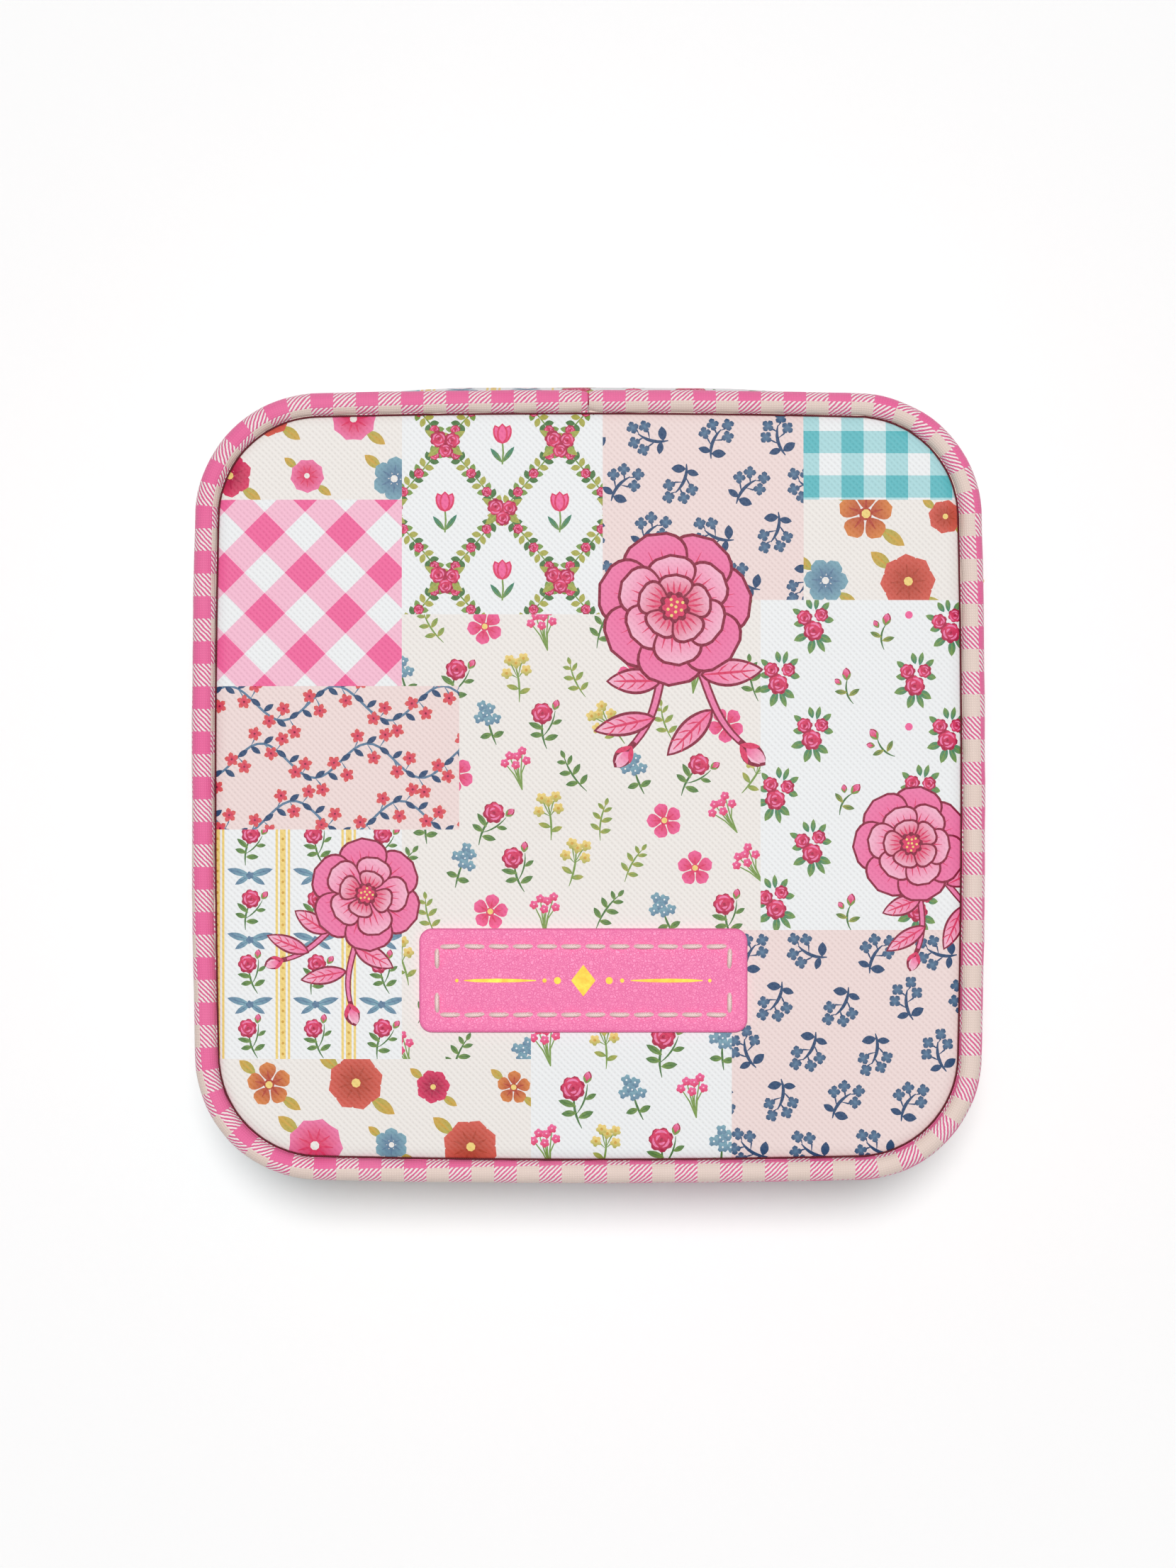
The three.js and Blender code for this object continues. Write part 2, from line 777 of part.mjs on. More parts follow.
function pullTab() {
  const holeZ = -linkLength - linkBend;
  const top = holeZ + tabHole / 2 + tabEyeMargin;
  const bottom = top - tabLength;
  const head = tabHeadWidth / 2;
  const wide = tabWidth / 2;
  const neck = holeZ - tabHole;
  const shoulder = neck - wide;
  const shape = new THREE.Shape();
  shape.moveTo(-head, neck);
  shape.lineTo(-head, holeZ);
  shape.quadraticCurveTo(-head, top, 0, top);
  shape.quadraticCurveTo(head, top, head, holeZ);
  shape.lineTo(head, neck);
  shape.quadraticCurveTo(wide, neck, wide, shoulder);
  shape.lineTo(wide, bottom + wide);
  shape.absarc(0, bottom + wide, wide, 0, -Math.PI, true);
  shape.lineTo(-wide, shoulder);
  shape.quadraticCurveTo(-wide, neck, -head, neck);
  const hole = new THREE.Path();
  hole.absarc(0, holeZ, tabHole / 2, 0, 2 * Math.PI, false);
  shape.holes.push(hole);
  return sidePlate(shape, tabThickness, -tabThickness / 2);
}

// The base half, measured from the parting plane down
const base = new THREE.Group();
base.position.z = partingHeight;
base.add(piece('base_panel', basePanel(), printed));
base.add(piece('base_piping', piping(-1, baseWall), gingham));
base.add(piece('base_gusset', gusset(-1, baseWall), printed));
base.add(piece('base_board', board(-1, baseSeam), card));
base.add(piece('base_frame', baseFrame(), velvet));
base.add(piece('base_tape', tape(-1), tapeCloth));
base.add(piece('base_chain', chain(-1, stopGap), gold));
base.add(piece('zip_bottom_stop', zipStop(1, -chainHalf, chainHalf), gold));
base.add(piece('base_top_stop', zipStop(-1, -chainHalf, -toothGap / 2), gold));
base.add(piece('divider_long', dividerLong(), velvetDeep));
base.add(piece('divider_front', dividerAcross(-1, -cavityHalfY / 3), velvetDeep));
base.add(piece('divider_back', dividerAcross(-1, cavityHalfY / 3), velvetDeep));
base.add(piece('divider_ring', dividerAcross(1, bedBack + fitGap + dividerThickness / 2), velvetDeep));
base.add(piece('ring_bed', ringBed(), velvet));
for (let number = 0; number < rollCount; number += 1) {
  base.add(piece(`ring_roll_${number + 1}`, ringRoll(number), velvetDeep));
}
base.add(piece('spine', spine(), printed));
base.add(piece('hinge_lining', hingeLining(), velvet));

// The lid half, measured from the parting plane up
const lid = new THREE.Group();
lid.position.z = partingHeight;
lid.add(piece('lid_panel', lidPanel(), printed));
lid.add(piece('lid_foam', lidFoam(), foam));
lid.add(piece('lid_label', lidLabel(), pinkLeather));
lid.add(piece('lid_piping', piping(1, lidWall), gingham));
lid.add(piece('lid_gusset', gusset(1, lidWall), printed));
lid.add(piece('lid_board', board(1, lidSeam), card));
lid.add(piece('lid_lining', lidLining(), velvet));
lid.add(piece('mirror_frame', mirrorFrame(), velvetDeep));
lid.add(piece('mirror', mirror(), glass));
lid.add(piece('lid_tape', tape(1), tapeCloth));
lid.add(piece('lid_chain', chain(1, stopGap + toothPitch / 2), gold));
lid.add(piece('lid_top_stop', zipStop(-1, toothGap / 2, chainHalf), gold));

// The slider, parked at the start of the teeth on the right side, with its pull hanging down
const pull = new THREE.Group();
pull.position.x = bridgeOut;
pull.add(piece('pull_link', pullLink(), gold));
pull.add(piece('pull_tab', pullTab(), pinkLeather));

const slider = new THREE.Group();
slider.position.set(caseWidth / 2 - tapeMiddle, sliderY, partingHeight);
slider.add(piece('slider_body', sliderBody(), gold));
slider.add(pull);

const jewelryCase = new THREE.Group();
jewelryCase.add(base, lid, slider);

export default jewelryCase;
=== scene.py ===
"""A square zip-round jewelry case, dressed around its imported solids.

Sizes are in millimetres until a mesh is made. The origin is the middle of the underside, +Z is up and
+Y is the hinge side. Prints, cloths and leatherettes are drawn by the script and follow each surface.
"""

import bisect
import logging
import math
import random
from dataclasses import dataclass, field
from enum import Enum
from itertools import pairwise
from typing import Callable, Iterable, Sequence

import bmesh
import bpy
import numpy as np
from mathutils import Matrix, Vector, noise
from mathutils.bvhtree import BVHTree
from mathutils.geometry import delaunay_2d_cdt


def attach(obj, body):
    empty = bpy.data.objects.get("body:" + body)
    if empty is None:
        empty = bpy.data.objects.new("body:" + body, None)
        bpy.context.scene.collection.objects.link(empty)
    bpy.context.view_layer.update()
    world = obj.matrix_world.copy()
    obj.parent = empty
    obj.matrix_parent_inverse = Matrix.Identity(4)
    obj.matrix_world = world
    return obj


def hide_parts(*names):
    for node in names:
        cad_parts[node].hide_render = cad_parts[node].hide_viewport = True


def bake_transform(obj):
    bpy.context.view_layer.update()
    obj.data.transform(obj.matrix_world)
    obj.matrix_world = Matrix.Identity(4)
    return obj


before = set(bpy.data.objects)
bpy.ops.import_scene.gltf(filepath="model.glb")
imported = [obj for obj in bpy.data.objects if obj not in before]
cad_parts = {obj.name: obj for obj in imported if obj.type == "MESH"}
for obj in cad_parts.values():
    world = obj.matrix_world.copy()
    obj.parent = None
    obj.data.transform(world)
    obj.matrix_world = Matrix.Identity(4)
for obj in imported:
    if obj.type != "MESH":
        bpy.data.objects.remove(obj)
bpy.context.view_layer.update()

log = logging.getLogger("jewelry_case")

MM = 0.001
JOIN = 0.002

Colour = tuple[float, float, float]
Flat = tuple[float, float]
Lift = Callable[[float, float], Vector]
Material = bpy.types.Material
Mesh = bpy.types.Mesh
Object = bpy.types.Object
Socket = bpy.types.NodeSocket


def ink(red: int, green: int, blue: int) -> Colour:
    """Turn a screen colour into Blender's linear one.

    Args:
        red, green, blue: Shares of 0 to 255.

    Returns:
        The linear colour.
    """
    shares = (red / 255, green / 255, blue / 255)
    return tuple(share / 12.92 if share < 0.04 else ((share + 0.055) / 1.055) ** 2.4 for share in shares)


class Ink(Enum):
    """The inks of the patchwork print."""

    WHITE = ink(243, 245, 246)
    CREAM = ink(243, 238, 233)
    BLUSH = ink(243, 222, 219)
    PALE_PINK = ink(250, 192, 214)
    PINK = ink(243, 128, 175)
    HOT_PINK = ink(246, 104, 160)
    ROSE = ink(226, 58, 104)
    DEEP_ROSE = ink(176, 28, 72)
    MAROON = ink(140, 22, 58)
    CORAL = ink(222, 98, 84)
    RUST = ink(184, 70, 50)
    ORANGE = ink(226, 140, 72)
    YELLOW = ink(246, 216, 128)
    GOLD = ink(214, 168, 70)
    OLIVE = ink(176, 176, 84)
    LEAF = ink(126, 158, 78)
    MOSS = ink(78, 122, 66)
    JADE = ink(42, 128, 108)
    TEAL = ink(96, 190, 198)
    PALE_TEAL = ink(176, 222, 226)
    SKY = ink(132, 176, 190)
    SLATE = ink(96, 128, 158)
    NAVY = ink(44, 76, 116)


class Design(Enum):
    """What is printed on a patch."""

    DITSY = "ditsy"
    ROSEBUDS = "rosebuds"
    SPRIGS = "sprigs"
    TRELLIS = "trellis"
    PLAID = "plaid"
    CHECK = "check"
    STRIPES = "stripes"
    VINES = "vines"
    DAISIES = "daisies"
    POSIES = "posies"


# Outlines and shells


def between(here: Sequence[float], there: Sequence[float], share: float) -> tuple[float, ...]:
    """Give the point at a share of the way between two."""
    return tuple(a + (b - a) * share for a, b in zip(here, there))


def around(reach: float, angle: float, middle: Flat = (0.0, 0.0)) -> Flat:
    """Give the point at a distance and an angle from a middle."""
    return middle[0] + reach * math.cos(angle), middle[1] + reach * math.sin(angle)


def box_corners(low: Flat, high: Flat) -> tuple[Flat, ...]:
    """Give a rectangle's corners, counterclockwise from its lowest."""
    return low, (high[0], low[1]), high, (low[0], high[1])


@dataclass(frozen=True)
class Station:
    """A place on an outline: the point it turns about, the way out, and the run to it."""

    x: float
    y: float
    out_x: float
    out_y: float
    radius: float
    run: float

    def at(self, inset: float, height: float) -> Vector:
        """Give the point a distance in from the outline, at a height."""
        out = self.radius - inset
        return Vector((self.x + self.out_x * out, self.y + self.out_y * out, height))


@dataclass(frozen=True)
class Outline:
    """A rounded rectangle seen from above, its sides a little bowed."""

    half_x: float
    half_y: float
    radius: float
    bow: float = 0.0
    middle: Flat = (0.0, 0.0)

    @property
    def reach(self) -> Flat:
        """Give the half sizes of the rectangle that the corners turn about."""
        return self.half_x - self.radius, self.half_y - self.radius

    def walk(self, step: float = 4.0, corner_steps: int = 14, line: float = 0.0) -> list[Station]:
        """Go round clockwise from the middle of the back.

        Args:
            step: The longest step on a side.
            corner_steps: The steps round each corner.
            line: How far in from the outline the run is measured.

        Returns:
            The stations, the last one at the first one's place.
        """
        x, y = self.reach
        turns = ((0, y), (x, y), (x, -y), (-x, -y), (-x, y), (0, y))
        bend = (self.radius - line) * math.pi / 2
        stations: list[Station] = []
        run = 0.0
        for side, (start, end) in enumerate(pairwise(turns)):
            angle = math.pi / 2 * (1 - side)
            length = math.dist(start, end)
            count = max(1, math.ceil(length / step))
            for share in (part / count for part in range(count + 1)):
                stations.append(self._station(*between(start, end, share), angle, run + length * share))
            run += length
            if side < 4:
                for share in (part / corner_steps for part in range(1, corner_steps)):
                    stations.append(self._station(*end, angle - math.pi / 2 * share, run + bend * share))
                run += bend
        return stations

    def _station(self, x: float, y: float, angle: float, run: float) -> Station:
        """Make a station, moved out by the side's bow.

        Args:
            x, y: A point of the rectangle that the corners turn about.
            angle: The way out.
            run: The run to it.

        Returns:
            The station.
        """
        out_x, out_y = round(math.cos(angle), 9), round(math.sin(angle), 9)
        along = x / self.reach[0] if abs(out_y) == 1 else y / self.reach[1]
        swell = self.bow * (1 - along**2)
        x, y = x + self.middle[0] + out_x * swell, y + self.middle[1] + out_y * swell
        return Station(x, y, out_x, out_y, self.radius, run)

    def depth(self, x: float, y: float) -> float:
        """Tell how far in from the outline a point lies.

        Args:
            x, y: The point.

        Returns:
            The distance, below 0 outside.
        """
        away = (abs(x - self.middle[0]), abs(y - self.middle[1]))
        over = [place - reach for place, reach in zip(away, self.reach)]
        if min(over) > 0:
            return self.radius - math.hypot(*over)
        bows = [self.bow * (1 - min(1.0, place / reach) ** 2) for place, reach in zip(away, self.reach)]
        return self.radius - max(over[0] - bows[1], over[1] - bows[0])


@dataclass(frozen=True)
class Track:
    """A walk on which any run's station can be found."""

    stations: Sequence[Station]

    def at(self, run: float) -> Station:
        """Make the station at a run, part way between its two neighbours.

        Args:
            run: The run.

        Returns:
            The station.
        """
        after = bisect.bisect_right(self.stations, run, key=lambda station: station.run)
        after = min(max(after, 1), len(self.stations) - 1)
        here, there = self.stations[after - 1], self.stations[after]
        share = (run - here.run) / max(there.run - here.run, 1e-9)
        out = between((here.out_x, here.out_y), (there.out_x, there.out_y), share)
        out_x, out_y = (part / math.hypot(*out) for part in out)
        return Station(*between((here.x, here.y), (there.x, there.y), share), out_x, out_y, here.radius, run)

    def between(self, start: float, end: float, *others: float) -> list[Station]:
        """Give the stations between two runs, with one made at each and at any other runs.

        Args:
            start, end: The two runs.
            others: Runs between them.

        Returns:
            The stations, in order.
        """
        inside = [station for station in self.stations if start + 1e-6 < station.run < end - 1e-6]
        return sorted([*inside, *map(self.at, (start, end, *others))], key=lambda station: station.run)

    @property
    def length(self) -> float:
        """Give the whole run."""
        return self.stations[-1].run


def rounded(profile: Sequence[tuple[float, ...]], steps: int = 4) -> list[Flat]:
    """Round the corners of a closed profile.

    Args:
        profile: Points, each with an optional third number, its corner's radius.
        steps: The steps round each corner.

    Returns:
        The points of the rounded profile.
    """
    result: list[Flat] = []
    for index, corner in enumerate(profile):
        here, radius = Vector(corner[:2]), (*corner, 0.0)[2]
        back = Vector(profile[index - 1][:2]) - here
        ahead = Vector(profile[(index + 1) % len(profile)][:2]) - here
        reach = min(radius, back.length * 0.49, ahead.length * 0.49)
        first, last = here + back.normalized() * reach, here + ahead.normalized() * reach
        for share in [step / steps for step in range(steps + 1)] if radius > 0 else [0.5]:
            result.append(tuple(first.lerp(here, share).lerp(here.lerp(last, share), share)))
    return result


def ways_along(line: Sequence[Sequence[float]]) -> list[float]:
    """Give the way along a line to each of its points.

    Args:
        line: Its points.

    Returns:
        The ways, one for each point.
    """
    ways = [0.0]
    for here, there in pairwise(line):
        ways.append(ways[-1] + math.dist(here, there))
    return ways


def divided(line: Sequence[Sequence[float]], step: float) -> list[tuple[float, ...]]:
    """Split a line's long steps.

    Args:
        line: Its points.
        step: The longest step that stays.

    Returns:
        The points of the split line.
    """
    result = []
    for here, there in pairwise(line):
        count = max(1, math.ceil(math.dist(here, there) / step))
        result += [between(here, there, part / count) for part in range(count)]
    return [*result, tuple(line[-1])]


@dataclass
class Shell:
    """Points and faces gathered for one mesh, with a flat place in millimetres for each corner."""

    points: list[Vector] = field(default_factory=list)
    faces: list[tuple[int, ...]] = field(default_factory=list)
    places: list[Flat] = field(default_factory=list)

    def face(self, corners: Iterable[int], places: Iterable[Flat] | None = None) -> None:
        """Add a face, placed by its points' x and y if no places are given."""
        self.faces.append(tuple(corners))
        self.places.extend(places or [tuple(self.points[corner].xy) for corner in self.faces[-1]])

    def loft(
        self,
        rows: Sequence[Sequence[Vector]],
        flats: Sequence[Sequence[Flat]] | None = None,
        caps: Sequence[int] = (0, -1),
    ) -> "Shell":
        """Join closed rows of points, each to the next.

        Args:
            rows: The rows, all with as many points.
            flats: The rows' flat places, the last of each at its first point again.
            caps: Which rows are filled.

        Returns:
            The shell itself.
        """
        start, count = len(self.points), len(rows[0])
        self.points.extend(point for row in rows for point in row)
        for row in range(len(rows) - 1):
            for step in range(count):
                corners = ((row, step), (row, step + 1), (row + 1, step + 1), (row + 1, step))
                places = [flats[line][column] for line, column in corners] if flats else None
                self.face((start + line * count + column % count for line, column in corners), places)
        for row in caps:
            first = start + row % len(rows) * count
            self.face(range(first, first + count))
        return self

    def raw(self, name: str) -> Mesh:
        """Make the mesh as it stands, in metres.

        Args:
            name: Its name.

        Returns:
            The mesh.
        """
        mesh = bpy.data.meshes.new(name)
        mesh.from_pydata([point * MM for point in self.points], [], self.faces)
        mesh.uv_layers.new(name="cloth").data.foreach_set("uv", np.array(self.places).ravel())
        return mesh

    def mesh(self, name: str) -> Mesh:
        """Make the mesh, with doubled points merged and faces turned out."""
        return merged(self.raw(name))


def merged(mesh: Mesh, *others: Mesh) -> Mesh:
    """Take other meshes into a mesh, merge doubled points and turn faces out.

    Args:
        mesh: The mesh that is kept.
        others: What it takes in.

    Returns:
        The mesh.
    """
    work = bmesh.new()
    for part in (mesh, *others):
        work.from_mesh(part)
    bmesh.ops.remove_doubles(work, verts=work.verts, dist=1e-7)
    bmesh.ops.recalc_face_normals(work, faces=work.faces)
    if not all(edge.is_manifold for edge in work.edges):
        log.warning("%s has open edges", mesh.name)
    work.to_mesh(mesh)
    work.free()
    return mesh


def swept(
    stations: Sequence[Station],
    section: Callable[[Station], Sequence[Flat]],
    mark: Callable[[Station, int], Flat] | None = None,
    ring: bool = False,
) -> Shell:
    """Sweep a closed section along stations.

    Args:
        stations: Where the section is set. A ring's last station repeats its first.
        section: Gives the section's insets and heights at a station.
        mark: Gives the flat place of a section's point, where it isn't the run and the way round.
        ring: Whether the sweep closes on itself.

    Returns:
        The shell.
    """
    rows = [list(section(station)) for station in stations]
    points = [[station.at(*place) for place in row] for station, row in zip(stations, rows)]
    ways = ways_along([*rows[0], rows[0][0]])
    flats = []
    for station in stations:
        flats.append([mark(station, step) if mark else (station.run, way) for step, way in enumerate(ways)])
    return Shell().loft(points, flats, () if ring else (0, -1))


def tray(outline: Outline, profile: Sequence[Flat], step: float = 4.0) -> Shell:
    """Make a closed skin through rows round an outline, its first and last rows closed flat.

    Args:
        outline: The outline that the rows follow.
        profile: Each row's inset and height.
        step: The longest step on a side.

    Returns:
        The shell.
    """
    stations = outline.walk(step)[:-1]
    runs = [station.run for station in stations]
    flats = [[(run, way) for run in (*runs, runs[-1] + 1.0)] for way in ways_along(profile)]
    return Shell().loft([[station.at(*place) for station in stations] for place in profile], flats)


def tube(path: Sequence[Vector], radius: float, sides: int = 8, ring: bool = False) -> Shell:
    """Make a round wire along a path.

    Args:
        path: The points it follows. A ring's last point isn't its first.
        radius: The wire's radius.
        sides: How many sides its round has.
        ring: Whether it closes on itself.

    Returns:
        The shell.
    """
    rows: list[list[Vector]] = []
    side = None
    for index, point in enumerate(path):
        ahead = path[(index + 1) % len(path)] if ring or index + 1 < len(path) else point
        back = path[index - 1] if ring or index else point
        along = (ahead - back).normalized()
        if side is None:
            side = along.cross(Vector((0, 0, 1)))
            side = side if side.length > 0.1 else along.cross(Vector((0, 1, 0)))
        side = (side - along * side.dot(along)).normalized()
        over = along.cross(side)
        rows.append([point + (side * x + over * y) * radius for x, y in ring_of(sides, 1.0)])
    if ring:
        rows.append(rows[0])
        path = [*path, path[0]]
    width = 2 * math.pi * radius / sides
    flats = [[(run, step * width) for step in range(sides + 1)] for run in ways_along(path)]
    return Shell().loft(rows, flats, () if ring else (0, -1))


def bolster(
    section: Sequence[Flat], low: float, high: float, count: int, pinch: float, lay: Callable
) -> Shell:
    """Sweep a section straight from end to end, its cover drawn in at both but flat on its seat.

    Args:
        section: Its points, across and up.
        low, high: The runs of its ends.
        count: How many steps lie between them.
        pinch: How far the cover is drawn in.
        lay: Gives a point's place for its run, its way across and its height.

    Returns:
        The shell.
    """
    wide, tall = zip(*section)
    seat = min(tall)
    middle = ((min(wide) + max(wide)) / 2, (seat + max(tall)) / 2)
    ends = (0.0, 0.5, 1.4)
    runs = [low + end for end in ends]
    runs += [low + (high - low) * step / count for step in range(1, count)]
    runs += [high - end for end in reversed(ends)]
    rows = []
    for run in runs:
        drawn = pinch * math.exp(-min(run - low, high - run) / 0.55)
        row = []
        for across, up in section:
            away = Vector((middle[0] - across, middle[1] - up))
            share = drawn / max(1.0, away.length) if up > seat + 0.1 else 0.0
            row.append(lay(run, across + away.x * share, up + away.y * share))
        rows.append(row)
    return Shell().loft(rows)


def slab(low: Sequence[float], high: Sequence[float], bevel: float, name: str) -> Mesh:
    """Make a block with rounded edges.

    Args:
        low, high: Two opposite corners.
        bevel: The radius of its edges.
        name: The mesh's name.

    Returns:
        The mesh, in metres.
    """
    work = bmesh.new()
    bmesh.ops.create_cube(work, size=1.0)
    for vertex in work.verts:
        vertex.co = [((a + b) / 2 + share * (b - a)) * MM for a, b, share in zip(low, high, vertex.co)]
    edges = {"geom": work.edges, "affect": "EDGES", "clamp_overlap": True}
    bmesh.ops.bevel(work, offset=bevel * MM, segments=3, profile=0.5, **edges)
    mesh = bpy.data.meshes.new(name)
    work.to_mesh(mesh)
    work.free()
    return mesh


def cut_out(name: str, outlines: Sequence[Sequence[Flat]], thick: float, bevel: float, lay: Callable) -> Mesh:
    """Cut a plate with rounded edges.

    Args:
        name: The mesh's name.
        outlines: Its outline, and then its holes.
        thick: Its thickness.
        bevel: The radius of its edges.
        lay: Gives a point's place from its flat x and y and its height above the plate's middle.

    Returns:
        The mesh, in metres.
    """
    sheet = bpy.data.curves.new(name, "CURVE")
    sheet.dimensions, sheet.fill_mode, sheet.bevel_resolution = "2D", "BOTH", 1
    sheet.extrude, sheet.bevel_depth, sheet.offset = thick / 2 - bevel, bevel, -bevel
    for outline in outlines:
        spline = sheet.splines.new("POLY")
        spline.points.add(len(outline) - 1)
        spline.points.foreach_set("co", [share for x, y in outline for share in (x, y, 0, 1)])
        spline.use_cyclic_u = True
    mesh = evaluated(bpy.data.objects.new(name, sheet))
    for vertex in mesh.vertices:
        vertex.co = Vector(lay(*vertex.co)) * MM
    mesh.name = name
    return merged(mesh)


def evaluated(carrier: Object) -> Mesh:
    """Give an object's mesh with its modifiers applied, and drop the object.

    Args:
        carrier: The object, which isn't in the scene yet or is already.

    Returns:
        The mesh.
    """
    if carrier.name not in bpy.context.scene.collection.objects:
        bpy.context.scene.collection.objects.link(carrier)
    graph = bpy.context.evaluated_depsgraph_get()
    mesh = bpy.data.meshes.new_from_object(carrier.evaluated_get(graph))
    bpy.data.objects.remove(carrier)
    return mesh


def ring_of(count: int, radius: float, middle: Flat = (0.0, 0.0)) -> list[Flat]:
    """Give the points of a circle."""
    return [around(radius, 2 * math.pi * step / count, middle) for step in range(count)]


def arc(x: float, y: float, radius: float, start: float, sweep: float, count: int = 5) -> list[Flat]:
    """Give a number of points along a circle, from one angle on by another."""
    return [around(radius, start + sweep * step / (count - 1), (x, y)) for step in range(count)]


def bezier(points: Sequence[Flat], count: int = 7) -> list[Flat]:
    """Give points along a smooth curve.

    Args:
        points: Three or four points that steer it.
        count: How many points are given.

    Returns:
        The curve's points.
    """
    curve = []
    for share in (step / (count - 1) for step in range(count)):
        level = list(points)
        while len(level) > 1:
            level = [between(here, there, share) for here, there in pairwise(level)]
        curve.append(level[0])
    return curve


def linked(lines: Iterable[Sequence[Sequence[float]]], points: list[Vector]) -> list[tuple[int, int]]:
    """Add lines' points to a list of points.

    Args:
        lines: The lines.
        points: The list that takes their points in.

    Returns:
        The edges that join them, as places in the list.
    """
    edges: list[tuple[int, int]] = []
    for line in lines:
        edges.extend(pairwise(range(len(points), len(points) + len(line))))
        points.extend(Vector(point) for point in line)
    return edges


# The print


def moved(points: Iterable[Flat], at: Flat, turn: float = 0.0, size: float = 1.0) -> tuple[Flat, ...]:
    """Give points turned, sized and moved to a place."""
    cosine, sine = math.cos(turn) * size, math.sin(turn) * size
    return tuple((at[0] + x * cosine - y * sine, at[1] + x * sine + y * cosine) for x, y in points)


@dataclass(frozen=True)
class Mark:
    """One printed shape, in one ink or fading to another between two points."""

    outline: tuple[Flat, ...]
    ink: Ink
    shade: Ink | None = None
    fade: tuple[Flat, Flat] = ((0.0, 0.0), (0.0, 1.0))

    @property
    def box(self) -> tuple[Flat, Flat]:
        """Give the lowest and highest corners of the box round the mark."""
        return tuple(map(min, *self.outline)), tuple(map(max, *self.outline))

    def placed(self, *how: object) -> "Mark":
        """Give the mark turned, sized and moved to a place."""
        return Mark(moved(self.outline, *how), self.ink, self.shade, moved(self.fade, *how))


Stamp = list[Mark]


def placed(stamp: Stamp, at: Flat, turn: float = 0.0, size: float = 1.0) -> Stamp:
    """Give a stamp turned, sized and moved to a place."""
    return [mark.placed(at, turn, size) for mark in stamp]


def oval(
    x: float, y: float, length: float, width: float, turn: float = 0.0, count: int = 9
) -> tuple[Flat, ...]:
    """Draw an oval about a middle, its length turned by an angle, with a number of points round it."""
    return moved(((a * length / 2, b * width / 2) for a, b in ring_of(count, 1.0)), (x, y), turn)


def dot(place: Flat, size: float, colour: Ink, count: int = 6) -> Mark:
    """Print a round dot."""
    return Mark(oval(*place, size, size, 0, count), colour)


def band(line: Sequence[Flat], halves: Sequence[float], pointed: bool = False) -> tuple[Flat, ...]:
    """Draw a band along points.

    Args:
        line: The points.
        halves: Half the band's width at each.
        pointed: Whether its ends are points.

    Returns:
        The outline.
    """
    left, right = [], []
    for index, (point, half) in enumerate(zip(line, halves)):
        ahead, back = line[min(index + 1, len(line) - 1)], line[max(index - 1, 0)]
        across = Vector((back[1] - ahead[1], ahead[0] - back[0])).normalized() * half
        left.append(tuple(Vector(point) + across))
        right.append(tuple(Vector(point) - across))
    return (*right, *reversed(left[1:-1] if pointed else left))


def blade(
    foot: Flat, tip: Flat, width: float, belly: float = 1.0, blunt: float = 0.8, count: int = 5
) -> tuple[Flat, ...]:
    """Draw a leaf or a petal from its foot to its tip.

    Args:
        foot, tip: Its ends.
        width: Its greatest width.
        belly: Over 1 puts the greatest width nearer the tip.
        blunt: The lower, the rounder its ends.
        count: The points on each side.

    Returns:
        The outline.
    """
    shares = [step / (count + 1) for step in range(count + 2)]
    halves = [width / 2 * math.sin(math.pi * share**belly) ** blunt for share in shares[1:-1]]
    return band([between(foot, tip, share) for share in shares], (0.0, *halves, 0.0), True)


def stroke(line: Sequence[Flat], width: float, ends: float = 0.3) -> tuple[Flat, ...]:
    """Draw a pen stroke along points, as wide at its ends as a share of its width says."""
    shares = [index / (len(line) - 1) for index in range(len(line))]
    return band(line, [width / 2 * (ends + (1 - ends) * math.sin(math.pi * share)) for share in shares])


def scallop(place: Flat, radius: float, lobes: int, depth: float, turn: float = 0.0) -> tuple[Flat, ...]:
    """Draw a round with a wavy edge.

    Args:
        place, radius: The round.
        lobes: How many waves it has.
        depth: The share of the radius that the waves go in.
        turn: The angle that it is turned by.

    Returns:
        The outline.
    """
    points = []
    for angle in (2 * math.pi * step / (lobes * 3) for step in range(lobes * 3)):
        reach = radius * (1 - depth * (1 - abs(math.sin(lobes * angle / 2))))
        points.append(around(reach, turn + angle, place))
    return tuple(points)


def rose() -> Stamp:
    """Draw an open rose of radius 1.

    Returns:
        Its marks.
    """
    marks = [
        Mark(scallop((0, 0), 1.0, 7, 0.16, 0.2), Ink.DEEP_ROSE),
        Mark(scallop((0.03, 0.06), 0.86, 6, 0.16, 0.9), Ink.ROSE, Ink.DEEP_ROSE, ((0.3, 0.5), (-0.6, -0.9))),
    ]
    for radius, start in ((0.66, 0.2), (0.62, 2.3), (0.6, 4.3), (0.34, 1.2), (0.33, 3.6)):
        marks.append(Mark(stroke(arc(0, 0.02, radius, start, 1.5), 0.2), Ink.PINK))
    return [*marks, Mark(oval(0.02, 0, 0.3, 0.26, 0.4, 7), Ink.DEEP_ROSE)]


def bud(
    dark: Ink = Ink.DEEP_ROSE, middle: Ink = Ink.ROSE, light: Ink = Ink.PINK, green: Ink = Ink.LEAF
) -> Stamp:
    """Draw a closed bud of length 1.6 that points up."""
    return [
        Mark(blade((0, -0.6), (0, 0.85), 1.05, 0.8, 0.6), dark),
        Mark(blade((-0.06, -0.4), (-0.12, 0.75), 0.62, 0.9, 0.6), middle, light, ((0, -0.3), (0, 0.7))),
        Mark(stroke([(0.18, -0.2), (0.24, 0.2), (0.12, 0.6)], 0.13), light),
        Mark(blade((0, -0.75), (-0.55, 0.1), 0.3), green),
        Mark(blade((0, -0.75), (0.5, 0.15), 0.3), green),
    ]


